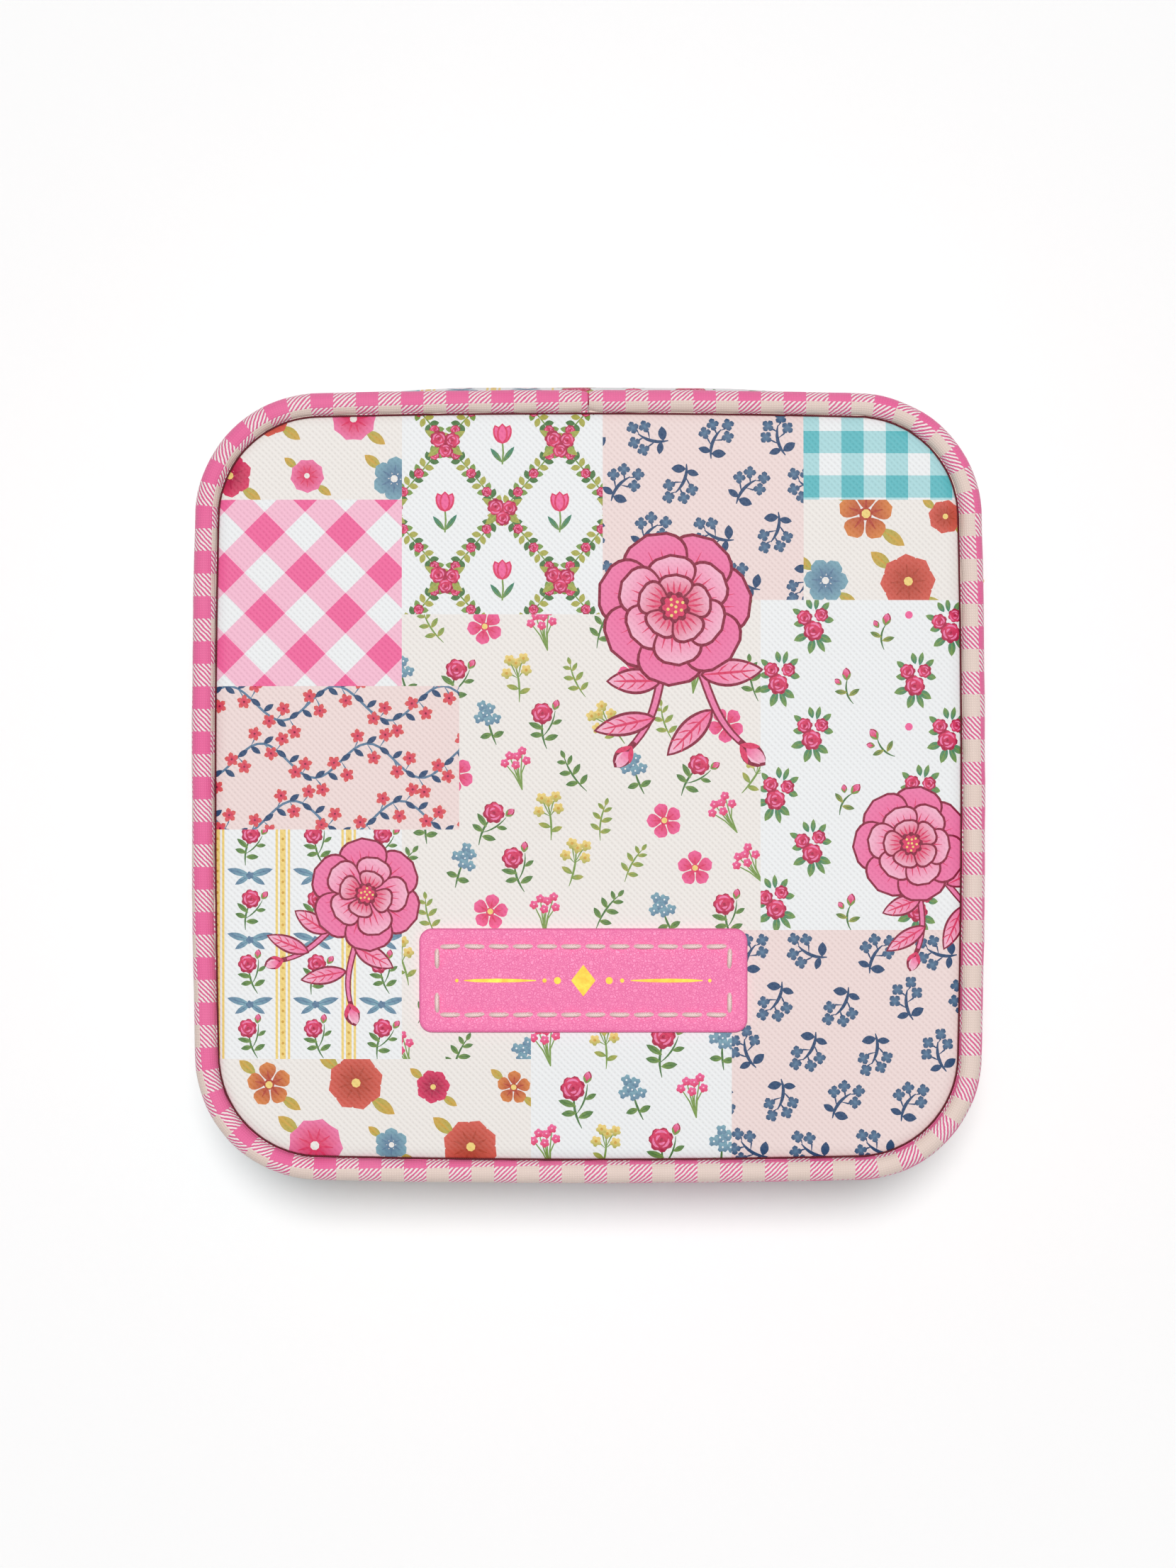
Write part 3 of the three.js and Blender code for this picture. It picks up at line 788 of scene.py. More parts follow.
def leafed(leaves: Sequence[tuple[float, ...]], green: Ink, shade: Ink) -> Stamp:
    """Draw leaves with a lit middle line, each from a foot to a tip and of a width.

    Args:
        leaves: For each leaf its foot, its tip and its width.
        green: The leaves' ink.
        shade: The ink of their middle lines.

    Returns:
        Their marks.
    """
    marks: Stamp = []
    for x0, y0, x1, y1, width in leaves:
        ends = ((x0, y0), (x1, y1))
        marks.append(Mark(blade(*ends, width), green, shade, ends))
        vein = [between(*ends, share) for share in (0.15, 0.5, 0.85)]
        marks.append(Mark(stroke(vein, width * 0.16), shade))
    return marks


def stem(points: Sequence[Flat], width: float, colour: Ink) -> Mark:
    """Draw a curved stem."""
    return Mark(stroke(bezier(points), width), colour)


def rosebud_spray() -> Stamp:
    """Draw three roses in a spray of leaves, about 7 high.

    Returns:
        Its marks.
    """
    leaves = (
        (-0.6, -0.4, -2.3, -1.1, 0.9),
        (0.5, -0.5, 2.1, -1.3, 0.9),
        (0, -0.8, -0.5, -2.7, 0.9),
        (0.3, -0.7, 1.3, -2.5, 0.7),
        (-1.2, 1.8, -2.4, 2.6, 0.7),
        (-0.9, 0.9, -2.3, 0.8, 0.8),
        (1.1, 1.3, 2.4, 1.2, 0.8),
        (0.9, 2.2, 1.9, 3.3, 0.7),
        (-0.2, 2.5, -0.7, 3.8, 0.7),
        (0.3, 2.4, 0.5, 4.0, 0.6),
    )
    marks = leafed(leaves, Ink.JADE, Ink.LEAF)
    for how in (((0, 0), 0.2, 1.25), ((-1.0, 1.55), 1.4, 0.95), ((0.95, 1.85), 2.6, 0.85)):
        marks += placed(rose(), *how)
    return marks


def rosebud_twig() -> Stamp:
    """Draw two buds on a short stem, about 4.5 high.

    Returns:
        Its marks.
    """
    marks = [stem([(0.4, -2.2), (-0.6, -0.8), (0.2, 0.8)], 0.24, Ink.MOSS)]
    marks += leafed(((0, -1.2, 1.4, -0.6, 0.6), (-0.1, -0.8, -1.5, -0.4, 0.6)), Ink.OLIVE, Ink.MOSS)
    return marks + placed(bud(), (0.2, 1.3), -0.1, 0.95) + placed(bud(), (-0.9, 0.6), 0.7, 0.65)


def navy_sprig() -> Stamp:
    """Draw a small sprig in blues, about 4 high.

    Returns:
        Its marks.
    """
    marks = [stem([(0.3, -2.0), (-0.5, -0.4), (0.3, 1.2)], 0.36, Ink.NAVY)]
    twigs = ((-0.1, -0.7, -1.2, 0.3), (0.0, -0.1, 1.2, 0.7), (0.1, 0.5, -0.7, 1.4), (0.3, 1.1, 0.8, 1.9))
    for x0, y0, x1, y1 in twigs:
        bend = ((x0 + x1) / 2 + 0.1, (y0 + y1) / 2 - 0.1)
        marks.append(Mark(stroke([(x0, y0), bend, (x1, y1)], 0.18), Ink.NAVY))
        for tip in arc(x1, y1, 0.68, 0.6, 1.5 * math.pi, 4):
            marks.append(Mark(blade((x1, y1), tip, 0.62, 1.4, 0.6, 3), Ink.NAVY, Ink.SLATE, (tip, (x1, y1))))
        marks.append(dot((x1, y1), 0.24, Ink.SLATE))
    marks.append(Mark(blade((0.15, -1.5), (1.6, -1.0), 0.9), Ink.NAVY))
    return [*marks, Mark(blade((0.05, -1.3), (-1.3, -1.4), 0.7), Ink.NAVY)]


def daisy(petal: Ink, shade: Ink, eye: Ink, count: int = 6) -> Stamp:
    """Draw an open flower of radius 1.5 with separate petals.

    Args:
        petal, shade: The inks of its petals, at their tips and their feet.
        eye: The ink of its eye.
        count: How many petals it has.

    Returns:
        The stamp.
    """
    marks: Stamp = []
    for angle in (2 * math.pi * step / count + 0.2 for step in range(count)):
        foot, inner, tip = (around(reach, angle) for reach in (0.2, 0.95, 1.5))
        marks.append(Mark(blade(foot, tip, 1.15, 1.5, 0.55), petal, shade, (tip, foot)))
        marks.append(Mark(stroke([foot, between(foot, inner, 0.5), inner], 0.14), shade))
    return [*marks, dot((0, 0), 0.72, shade, 9), dot((0, 0.03), 0.5, eye, 8)]


def leaf_twig(green: Ink = Ink.LEAF, shade: Ink = Ink.MOSS) -> Stamp:
    """Draw a stem with leaves in pairs, about 5 high."""
    leaves = (
        (0, -1.4, 1.3, -0.9, 0.62),
        (0, -1.1, -1.3, -0.5, 0.62),
        (-0.05, -0.1, 1.3, 0.5, 0.62),
        (-0.05, 0.2, -1.2, 0.9, 0.6),
        (0.1, 1.1, 1.1, 1.8, 0.5),
        (0.15, 1.4, -0.7, 2.1, 0.5),
        (0.25, 1.9, 0.4, 2.9, 0.5),
    )
    return [stem([(0.2, -2.4), (-0.4, 0), (0.3, 2.2)], 0.22, shade), *leafed(leaves, green, shade)]


def yellow_sprig() -> Stamp:
    """Draw a sprig of small round yellow flowers, about 4.5 high.

    Returns:
        Its marks.
    """
    marks = [stem([(0.1, -2.2), (0.3, -0.6), (0, 1.0)], 0.2, Ink.LEAF)]
    marks += leafed(((0.1, -1.4, 1.2, -1.0, 0.5), (0.15, -1.0, -1.0, -0.6, 0.5)), Ink.LEAF, Ink.OLIVE)
    for x, y in ((-0.9, 0.5), (0.9, 0.7), (0, 1.4), (-0.6, 1.7), (0.7, 1.8)):
        marks.append(Mark(stroke([(0.1, 0), (x / 2, y / 2 + 0.1), (x, y)], 0.13), Ink.LEAF))
        fade = ((x, y - 0.5), (x, y + 0.3))
        marks.append(Mark(scallop((x, y), 0.55, 5, 0.3, 0.3), Ink.OLIVE, Ink.YELLOW, fade))
        marks.append(dot((x, y), 0.3, Ink.GOLD))
    return marks


def red_posy() -> Stamp:
    """Draw a red flower with a bud and leaves, about 6 high.

    Returns:
        Its marks.
    """
    leaves = (
        (0, -2.0, 1.5, -1.6, 0.66),
        (-0.1, -1.5, -1.5, -1.4, 0.62),
        (0, -0.9, -1.6, -0.1, 0.62),
        (0.9, -0.4, 2.0, 0, 0.5),
    )
    marks = [
        stem([(0.2, -3.0), (-0.5, -1.2), (0, 0.4)], 0.24, Ink.MOSS),
        stem([(-0.1, -1.6), (1.0, -0.6), (1.3, 1.0)], 0.18, Ink.MOSS),
        *leafed(leaves, Ink.LEAF, Ink.MOSS),
    ]
    return marks + placed(rose(), (-0.1, 0.8), 0.5, 1.2) + placed(bud(), (1.4, 1.6), -0.4, 0.75)


def blue_bunch() -> Stamp:
    """Draw a round bunch of small blue flowers, about 4.5 high.

    Returns:
        Its marks.
    """
    marks = [stem([(0.3, -2.3), (0, -1), (0, 0.2)], 0.22, Ink.MOSS)]
    marks += leafed(((0.1, -1.5, 1.3, -1.2, 0.6), (0.1, -1.2, -1.1, -1.3, 0.6)), Ink.LEAF, Ink.MOSS)
    for step in range(7):
        x, y = around(0.42 * math.sqrt(step), step * 2.4, (0, 0.7))
        fade = ((x, y + 0.5), (x, y - 0.6))
        marks.append(Mark(scallop((x, y), 0.56, 4, 0.35, step * 2.4), Ink.SKY, Ink.SLATE, fade))
        marks.append(dot((x, y), 0.2, Ink.WHITE, 5))
    return marks


def pink_cluster() -> Stamp:
    """Draw a cluster of pink dots on fine stems, about 4.5 high.

    Returns:
        Its marks.
    """
    heads = ((-1.0, 0.9), (-0.4, 1.5), (0.3, 1.3), (0.9, 1.7), (1.1, 0.7), (0, 0.5))
    marks = [Mark(stroke([(0.1, -2.0), (x / 3, -0.4), (x, y)], 0.14, 0.7), Ink.LEAF) for x, y in heads]
    for x, y in heads:
        fade = ((x, y + 0.3), (x, y - 0.4))
        marks.append(Mark(scallop((x, y), 0.46, 5, 0.25, x), Ink.HOT_PINK, Ink.ROSE, fade))
        marks.append(Mark(oval(x, y + 0.05, 0.2, 0.16, 0, 5), Ink.PALE_PINK))
    return marks


def tulip() -> Stamp:
    """Draw a small pink tulip with two leaves, about 5 high.

    Returns:
        Its marks.
    """
    marks = [Mark(stroke([(0, -2.4), (0.1, -1), (0, 0.4)], 0.22, 0.8), Ink.LEAF)]
    marks += leafed(((0, -2.2, 1.4, -0.3, 0.6), (0, -2.2, -1.4, -0.5, 0.6)), Ink.LEAF, Ink.JADE)
    for x, y, width in ((-0.9, 2.2, 1.2), (0.9, 2.2, 1.2), (0, 2.4, 1.3)):
        marks.append(Mark(blade((0, 0), (x, y), width, 0.9, 0.6), Ink.ROSE))
        marks.append(Mark(blade((0, 0.2), (x * 0.9, y - 0.2), width * 0.66, 0.9, 0.6), Ink.HOT_PINK))
    return marks


def bloom(petals: int = 7) -> Stamp:
    """Draw the large pink flower, of radius 10, with long leaves and two buds below it.

    Args:
        petals: How many petals its outer round has.

    Returns:
        The stamp.
    """
    marks: Stamp = []
    for line in ([(0, -3), (3.5, -9), (1.5, -14), (6.5, -19)], [(0, -3), (-4, -8), (-3, -13), (-8.5, -17)]):
        curve = bezier(line, 16)
        marks.append(Mark(stroke(curve, 1.15, 0.7), Ink.MAROON))
        marks.append(Mark(stroke(curve[1:-1], 0.62, 0.7), Ink.PINK))
    for x0, y0, x1, y1, width in (
        (1.9, -9, 10, -9.5, 3.6),
        (2.9, -13.5, -3.8, -18.5, 3.2),
        (-2.9, -9, -10, -8, 3.4),
        (-4.4, -13.5, -12.5, -14, 3.0),
    ):
        marks += _long_leaf((x0, y0), (x1, y1), width)
    for at, turn, size in (((6.9, -19.9), -2.4, 2.6), ((-9.2, -17.7), 2.3, 2.2)):
        marks += placed(bud(Ink.MAROON, Ink.HOT_PINK, Ink.PALE_PINK, Ink.ROSE), at, turn, size)
    for layer, (reach, width, twist) in enumerate(((10.0, 8.6, 0.0), (7.2, 6.4, 0.45), (4.6, 4.6, 0.1))):
        inks = (Ink.PALE_PINK if layer else Ink.PINK, Ink.HOT_PINK if layer < 2 else Ink.ROSE)
        for step in range(petals - layer):
            angle = twist + 2 * math.pi * step / (petals - layer)
            marks += _large_petal(angle, reach * (1 + 0.07 * math.sin(3.1 * step + layer)), width, inks)
    marks.append(Mark(scallop((0, 0), 2.1, 9, 0.2), Ink.MAROON))
    marks.append(Mark(scallop((0, 0), 1.6, 8, 0.25, 0.3), Ink.ROSE))
    for step in range(9):
        marks.append(dot(around(0.42 * math.sqrt(step + 0.2), step * 2.4), 0.42, Ink.YELLOW, 7))
    return marks


def _long_leaf(foot: Flat, tip: Flat, width: float) -> Stamp:
    """Draw a long pink leaf with its veins.

    Args:
        foot, tip, width: Its size.

    Returns:
        The stamp.
    """
    away = Vector(tip) - Vector(foot)
    start, end = Vector(foot) + away * 0.05, Vector(foot) + away * 0.95
    inner = blade(tuple(start), tuple(end), width - 0.75, 0.9, 0.8, 12)
    marks = [
        Mark(blade(foot, tip, width, 0.9, 0.8, 12), Ink.MAROON),
        Mark(inner, Ink.PALE_PINK, Ink.HOT_PINK, (tip, foot)),
        Mark(stroke([between(start, end, share) for share in (0.0, 0.3, 0.6, 0.9)], 0.36, 0.3), Ink.ROSE),
    ]
    side = Vector((-away.y, away.x)).normalized() * width * 0.3
    for root in (start.lerp(end, share) for share in (0.25, 0.45, 0.65)):
        for way in (side, -side):
            vein = [tuple(root + away * along + way * out) for along, out in ((0, 0), (0.08, 0.6), (0.17, 1))]
            marks.append(Mark(stroke(vein, 0.22), Ink.ROSE))
    return marks


def _large_petal(angle: float, length: float, width: float, inks: tuple[Ink, Ink]) -> Stamp:
    """Draw a petal of the large flower with its fine lines.

    Args:
        angle, length, width: The petal's way and size.
        inks: Its inks at the tip and at the foot.

    Returns:
        The stamp.
    """
    way = Vector((math.cos(angle), math.sin(angle)))
    side = Vector((-way.y, way.x))
    inner = blade(tuple(way * 0.7), tuple(way * (length - 0.38)), width - 0.75, 1.7, 0.5, 12)
    marks = [
        Mark(blade(tuple(way * 0.3), tuple(way * length), width, 1.7, 0.5, 12), Ink.MAROON),
        Mark(inner, *inks, (tuple(way * length), tuple(way * length * 0.25))),
    ]
    for lean in (-0.5, -0.2, 0.1, 0.4):
        far = way * length * (0.8 - abs(lean) * 0.25) + side * width * lean * 0.62
        near = way * length * 0.3 + side * width * lean * 0.15
        bow = near.lerp(far, 0.5) + side * lean * 0.5
        marks.append(Mark(stroke([tuple(near), tuple(bow), tuple(far)], 0.3, 0.15), Ink.ROSE))
    return marks


@dataclass(frozen=True)
class Patch:
    """A rectangle of the patchwork with its design."""

    design: Design
    left: float
    low: float
    right: float
    high: float

    @property
    def outline(self) -> tuple[Flat, ...]:
        """Give the rectangle's corners."""
        return box_corners((self.left, self.low), (self.right, self.high))

    @property
    def size(self) -> Flat:
        """Give the width and the height."""
        return self.right - self.left, self.high - self.low

    @property
    def middle(self) -> Flat:
        """Give the middle."""
        return (self.left + self.right) / 2, (self.low + self.high) / 2

    @property
    def ground(self) -> Ink:
        """Give the ink that the patch is filled with."""
        grounds = {Ink.CREAM: (Design.DITSY, Design.DAISIES), Ink.BLUSH: (Design.SPRIGS, Design.VINES)}
        return next((colour for colour, designs in grounds.items() if self.design in designs), Ink.WHITE)

    def touches(self, mark: Mark) -> bool:
        """Tell whether some of a mark may lie on the patch."""
        (x0, y0), (x1, y1) = mark.box
        return x1 > self.left and x0 < self.right and y1 > self.low and y0 < self.high

    def covers(self, mark: Mark) -> bool:
        """Tell whether the patch holds the whole of a mark."""
        (x0, y0), (x1, y1) = mark.box
        return x0 > self.left and x1 < self.right and y0 > self.low and y1 < self.high

    def spots(self, pitch_x: float, pitch_y: float) -> Iterable[tuple[float, float, int]]:
        """Give staggered places that cover the patch, each with its number."""
        number = 0
        for row in range(math.ceil(self.size[1] / pitch_y) + 1):
            for column in range(math.ceil(self.size[0] / pitch_x) + 2):
                x = self.left + (column - 0.75 + 0.5 * (row % 2)) * pitch_x
                y = self.low + (row + 0.35) * pitch_y
                number += 1
                if self.left - 2.5 < x < self.right + 2.5 and self.low - 3.5 < y < self.high + 3.5:
                    yield x, y, number

    def strewn(self, dice: random.Random, pitch: Flat, way: Flat) -> Iterable[tuple[float, float, int, Flat]]:
        """Give the spots and their numbers, each with a place up to a way across and up from it."""
        for x, y, number in self.spots(*pitch):
            yield x, y, number, (x + dice.uniform(-way[0], way[0]), y + dice.uniform(-way[1], way[1]))

    def marks(self, dice: random.Random) -> Stamp:
        """Draw the patch's design."""
        return getattr(self, "_" + self.design.value)(dice)

    def _ditsy(self, dice: random.Random) -> Stamp:
        """Draw mixed small flowers.

        Args:
            dice: What draws the unevenness.

        Returns:
            The marks.
        """
        kinds = [
            (red_posy(), 0.82),
            (leaf_twig(), 0.8),
            (daisy(Ink.HOT_PINK, Ink.ROSE, Ink.YELLOW, 5), 1.05),
            (yellow_sprig(), 0.95),
            (blue_bunch(), 0.9),
            (pink_cluster(), 0.9),
            (leaf_twig(Ink.OLIVE, Ink.LEAF), 0.72),
        ]
        marks: Stamp = []
        for _, y, number, at in self.strewn(dice, (8.2, 6.6), (0.6, 0.5)):
            stamp, size = kinds[(number * 3 + int(y)) % len(kinds)]
            marks += placed(stamp, at, dice.uniform(-0.7, 0.7), size * 1.6)
        return marks

    def _rosebuds(self, dice: random.Random) -> Stamp:
        """Draw sprays of rosebuds with twigs and dots between.

        Args:
            dice: What draws the unevenness.

        Returns:
            The marks.
        """
        marks: Stamp = []
        for x, y, number, at in self.strewn(dice, (9.6, 7.8), (0.5, 0.4)):
            stamp, lean = (rosebud_twig(), 1.1) if number % 2 else (rosebud_spray(), 0.3)
            marks += placed(stamp, at, dice.uniform(-lean, lean), 1.2)
            if number % 4 == 1:
                marks.append(dot((x + 3.9, y + 2.2), 1.1, Ink.HOT_PINK, 10))
        return marks

    def _sprigs(self, dice: random.Random) -> Stamp:
        """Draw scattered sprigs in blues.

        Args:
            dice: What draws the unevenness.

        Returns:
            The marks.
        """
        marks: Stamp = []
        for *_, at in self.strewn(dice, (8.8, 6.8), (0.4, 0.4)):
            turn = dice.choice((0.3, -0.5, 1.2, 2.9)) + dice.uniform(-0.2, 0.2)
            marks += placed(navy_sprig(), at, turn, 1.35)
        return marks

    def _trellis(self, dice: random.Random) -> Stamp:
        """Draw crossing garlands of leaves and roses, with a small tulip in each diamond.

        Args:
            dice: What draws the unevenness.

        Returns:
            The marks.
        """
        garlands: Stamp = []
        knots: Stamp = []
        pitch_x, pitch_y = 16.0, 19.0
        across = math.ceil(self.size[0] / pitch_x / 2) + 1
        upward = math.ceil(self.size[1] / pitch_y / 2) + 1
        leaves = [(0, 0, *tip, 1.1) for tip in ((2.8, 1.6), (-2.8, 1.7), (2.5, -1.8), (-2.4, -2.0))]
        for column in range(-across, across + 1):
            for row in range(-upward, upward + 1):
                x, y = self.middle[0] + column * pitch_x, self.middle[1] + row * pitch_y
                right, top = x + pitch_x / 2, y + pitch_y / 2
                for corner in ((-1, 1), (-1, -1), (1, 1), (1, -1)):
                    far = (x + corner[0] * pitch_x / 2, y + corner[1] * pitch_y / 2)
                    garlands += self._garland((x, y), far, dice)
                for knot in ((x, y), (right, top)):
                    knots += placed(leafed(leaves, Ink.LEAF, Ink.OLIVE), knot)
                    for way_x, way_y, size in ((-0.9, 0.5, 1.25), (1.0, 0.3, 1.15), (0.1, -1.1, 1.1)):
                        knots += placed(rose(), (knot[0] + way_x, knot[1] + way_y), dice.uniform(0, 6), size)
                knots += placed(tulip(), (right, y - 0.2), 0, 1.2) + placed(tulip(), (x, top - 0.2), 0, 1.2)
        return garlands + knots

    def _garland(self, start: Flat, end: Flat, dice: random.Random) -> Stamp:
        """Draw leaves and small roses along a straight line, if it is near the patch.

        Args:
            start, end: The line.
            dice: What draws the roses' turns.

        Returns:
            The stamp.
        """
        x, y = between(start, end, 0.5)
        if not (self.left - 5 < x < self.right + 5 and self.low - 5 < y < self.high + 5):
            return []
        marks = [Mark(stroke([start, (x + 0.2, y), end], 0.22, 0.8), Ink.LEAF)]
        turn = math.atan2(end[1] - start[1], end[0] - start[0])
        steps = 11
        for step in range(1, steps):
            place = between(start, end, step / steps)
            for angle in (turn + 1.0, turn - 1.0):
                leaf = blade(place, around(1.4, angle, place), 0.85, 1.0, 0.8, 4)
                marks.append(Mark(leaf, (Ink.LEAF, Ink.OLIVE, Ink.MOSS)[step % 3]))
            if step % 3 == 0:
                marks += placed(rose(), place, dice.uniform(0, 6), 0.75)
        return marks

    def _plaid(self, _: random.Random) -> Stamp:
        """Draw a pink check that runs on the diagonal."""
        return self._checked(4.0, math.pi / 4, Ink.PALE_PINK, Ink.HOT_PINK)

    def _check(self, _: random.Random) -> Stamp:
        """Draw a straight teal check."""
        return self._checked(3.1, 0.0, Ink.PALE_TEAL, Ink.TEAL)

    def _checked(self, cell: float, turn: float, single: Ink, double: Ink) -> Stamp:
        """Draw a two-way check of square cells.

        Args:
            cell: A cell's side.

        Returns:
            The stamp.
        """
        reach = math.hypot(*self.size) / 2 + cell
        count = math.ceil(reach / cell / 2) * 2
        bands, crossings = [], []
        for low in (number * cell for number in range(-count, count, 2)):
            high = low + cell
            bands.append(Mark(box_corners((-reach, low), (reach, high)), single))
            bands.append(Mark(box_corners((low, -reach), (high, reach)), single))
            for left in (number * cell for number in range(-count, count, 2)):
                crossings.append(Mark(box_corners((left, low), (left + cell, high)), double))
        return placed(bands + crossings, self.middle, turn)

    def _stripes(self, dice: random.Random) -> Stamp:
        """Draw yellow double stripes with a column of roses between each two.

        Args:
            dice: What draws the unevenness.

        Returns:
            The marks.
        """
        marks: Stamp = []
        pitch, dot_pitch, rose_pitch = 9.2, 1.5, 9.0
        tips = ((3.2, 0.9, 1.0), (-3.2, 0.9, 1.0), (2.1, -1.3, 0.8), (-2.1, -1.3, 0.8))
        leaves = [(0, 0, *tip) for tip in tips]
        for column in range(math.ceil(self.size[0] / pitch) + 1):
            x = self.left + 1.2 + column * pitch
            for shift, width in ((-0.85, 0.34), (0.85, 0.34), (0.0, 0.8)):
                low, high = (x + shift - width / 2, self.low), (x + shift + width / 2, self.high)
                marks.append(Mark(box_corners(low, high), Ink.YELLOW))
            for number in range(math.ceil(self.size[1] / dot_pitch)):
                marks.append(dot((x, self.low + 0.7 + number * dot_pitch), 0.42, Ink.GOLD))
            for number in range(math.ceil(self.size[1] / rose_pitch)):
                place = (x + pitch / 2, self.low + 3.4 + number * rose_pitch)
                knot = (place[0], place[1] + 4.2)
                marks += placed(red_posy(), place, dice.choice((0.25, -0.25)), 1.15)
                marks += placed(leafed(leaves, Ink.SKY, Ink.SLATE), knot)
                marks.append(Mark(scallop(knot, 0.6, 5, 0.3), Ink.SLATE))
        return marks

    def _vines(self, dice: random.Random) -> Stamp:
        """Draw wandering vines with coral blossoms and blue leaves.

        Args:
            dice: What draws the unevenness.

        Returns:
            The marks.
        """
        marks: Stamp = []
        pitch, reach = 8.0, 4.0
        for line in range(math.ceil(self.size[1] / pitch) + 1):
            base = self.low + 1.6 + line * pitch
            ways = np.arange(self.left - reach, self.right + reach, 0.9)
            points = [(float(x), base + 2.4 * math.sin(x * 0.42 + line * 1.9)) for x in ways]
            marks.append(Mark(stroke(points, 0.34, 0.9), Ink.SLATE))
            for number, (x, y) in enumerate(points[1::2]):
                side = 1 if number % 2 else -1
                tip = (x + dice.uniform(0.4, 1.1), y + side * dice.uniform(1.3, 2.0))
                bend = ((x + tip[0]) / 2 + 0.2, (y + tip[1]) / 2)
                marks.append(Mark(stroke([(x, y), bend, tip], 0.2), Ink.SLATE))
                marks.append(Mark(blade((x, y), (x + 1.4, y - side), 0.8, 1, 0.8, 4), Ink.NAVY))
                for end in arc(*tip, 1.05, number, math.pi * 1.6, 5):
                    marks.append(Mark(blade(tip, end, 0.72, 1.3, 0.6, 3), Ink.CORAL, Ink.ROSE, (end, tip)))
                marks.append(dot(tip, 0.34, Ink.MAROON))
        return marks

    def _daisies(self, dice: random.Random) -> Stamp:
        """Draw larger open flowers in coral, rust and teal.

        Args:
            dice: What draws the unevenness.

        Returns:
            The marks.
        """
        kinds = (
            (Ink.CORAL, Ink.RUST, Ink.YELLOW, 8),
            (Ink.SKY, Ink.SLATE, Ink.CREAM, 6),
            (Ink.ORANGE, Ink.RUST, Ink.YELLOW, 5),
            (Ink.PINK, Ink.ROSE, Ink.CREAM, 9),
            (Ink.ROSE, Ink.DEEP_ROSE, Ink.YELLOW, 7),
        )
        leaves = leafed(((0.8, -0.8, 2.1, -1.7, 0.7), (-0.9, 0.7, -2.0, 1.6, 0.7)), Ink.OLIVE, Ink.GOLD)
        marks: Stamp = []
        for x, _, number, at in self.strewn(dice, (11.4, 8.6), (0.7, 0.6)):
            size = dice.choice((1.6, 2.1, 2.6))
            marks += placed(leaves, at, 0, size)
            flower = daisy(*kinds[(number * 2 + int(x)) % len(kinds)])
            marks += placed(flower, at, dice.uniform(0, 6), size)
        return marks

    def _posies(self, dice: random.Random) -> Stamp:
        """Draw small mixed bunches, row by row.

        Args:
            dice: What draws the unevenness.

        Returns:
            The marks.
        """
        marks: Stamp = []
        for x, y, number in self.spots(8.2, 7.2):
            stamp = (red_posy, blue_bunch, pink_cluster, yellow_sprig)[number % 4]()
            marks += placed(stamp, (x, y), dice.uniform(-0.3, 0.3), 1.5)
        return marks


@dataclass
class Print:
    """A printed sheet: its patches, and marks that lie over all of them."""

    patches: Sequence[Patch] = ()
    over: Sequence[Mark] = ()
    seed: int = 3
    step: float = 3.0

    def cut(
        self, edge: Sequence[Flat], lines: Sequence[Sequence[Flat]]
    ) -> tuple[np.ndarray, list, np.ndarray]:
        """Cut the sheet into triangles that each have one ink.

        Args:
            edge: The sheet's edge.
            lines: Lines along which it also has to be cut, because it bends there.

        Returns:
            The points, the triangles, and three colours for each triangle.
        """
        dice = random.Random(self.seed)
        shapes: list[Mark] = [Mark(tuple(edge), Ink.CREAM)]
        for patch in self.patches:
            outline = divided([*patch.outline, patch.outline[0]], self.step)[:-1]
            shapes.append(Mark(tuple(outline), patch.ground))
        first = len(shapes)
        homes = list(range(first))
        for home, patch in enumerate(self.patches, 1):
            for mark in patch.marks(dice):
                if patch.touches(mark) and not any(later.covers(mark) for later in self.patches[home:]):
                    shapes.append(mark)
                    homes.append(home)
        homes += [0] * len(self.over)
        shapes += self.over
        corners: list[Vector] = []
        faces: list[list[int]] = []
        for outline in (shape.outline for shape in shapes):
            twice = sum(a[0] * b[1] - b[0] * a[1] for a, b in zip(outline, outline[1:] + outline[:1]))
            faces.append(list(range(len(corners), len(corners) + len(outline))))
            corners.extend(Vector(point) for point in (outline if twice > 0 else reversed(outline)))
        edges = linked(lines, corners)
        points, _, cells, _, _, inside = delaunay_2d_cdt(corners, edges, faces, 0, JOIN, True)
        flat = np.array([tuple(point) for point in points])
        boxes = [shape.box for shape in shapes]
        kept, tops = [], []
        for cell, holders in zip(cells, inside):
            if 0 not in holders:
                continue
            x, y = flat[list(cell)].mean(0)
            home = max(holder for holder in holders if holder < first)
            marks = [home]
            for holder in holders:
                (x0, y0), (x1, y1) = boxes[holder]
                if holder >= first and homes[holder] in (0, home) and x0 <= x <= x1 and y0 <= y <= y1:
                    marks.append(holder)
            kept.append(tuple(cell))
            tops.append(max(marks))
        return flat, kept, self._coloured(flat[np.array(kept)], np.array(tops), shapes)

    def _coloured(self, corners: np.ndarray, tops: np.ndarray, shapes: Sequence[Mark]) -> np.ndarray:
        """Give each triangle's corners their colours.

        Args:
            corners: Each triangle's three flat points.
            tops: The shape that each triangle shows.
            shapes: All the shapes.

        Returns:
            Three linear colours for each triangle.
        """
        plain = np.array([shape.ink.value for shape in shapes])[tops][:, None]
        shade = np.array([(shape.shade or shape.ink).value for shape in shapes])[tops][:, None]
        start = np.array([shape.fade[0] for shape in shapes])[tops][:, None]
        way = np.array([shape.fade[1] for shape in shapes])[tops][:, None] - start
        share = ((corners - start) * way).sum(2) / np.maximum((way**2).sum(2), 1e-9)
        share = np.clip(share, 0, 1)[..., None]
        return plain * (1 - share) + shade * share


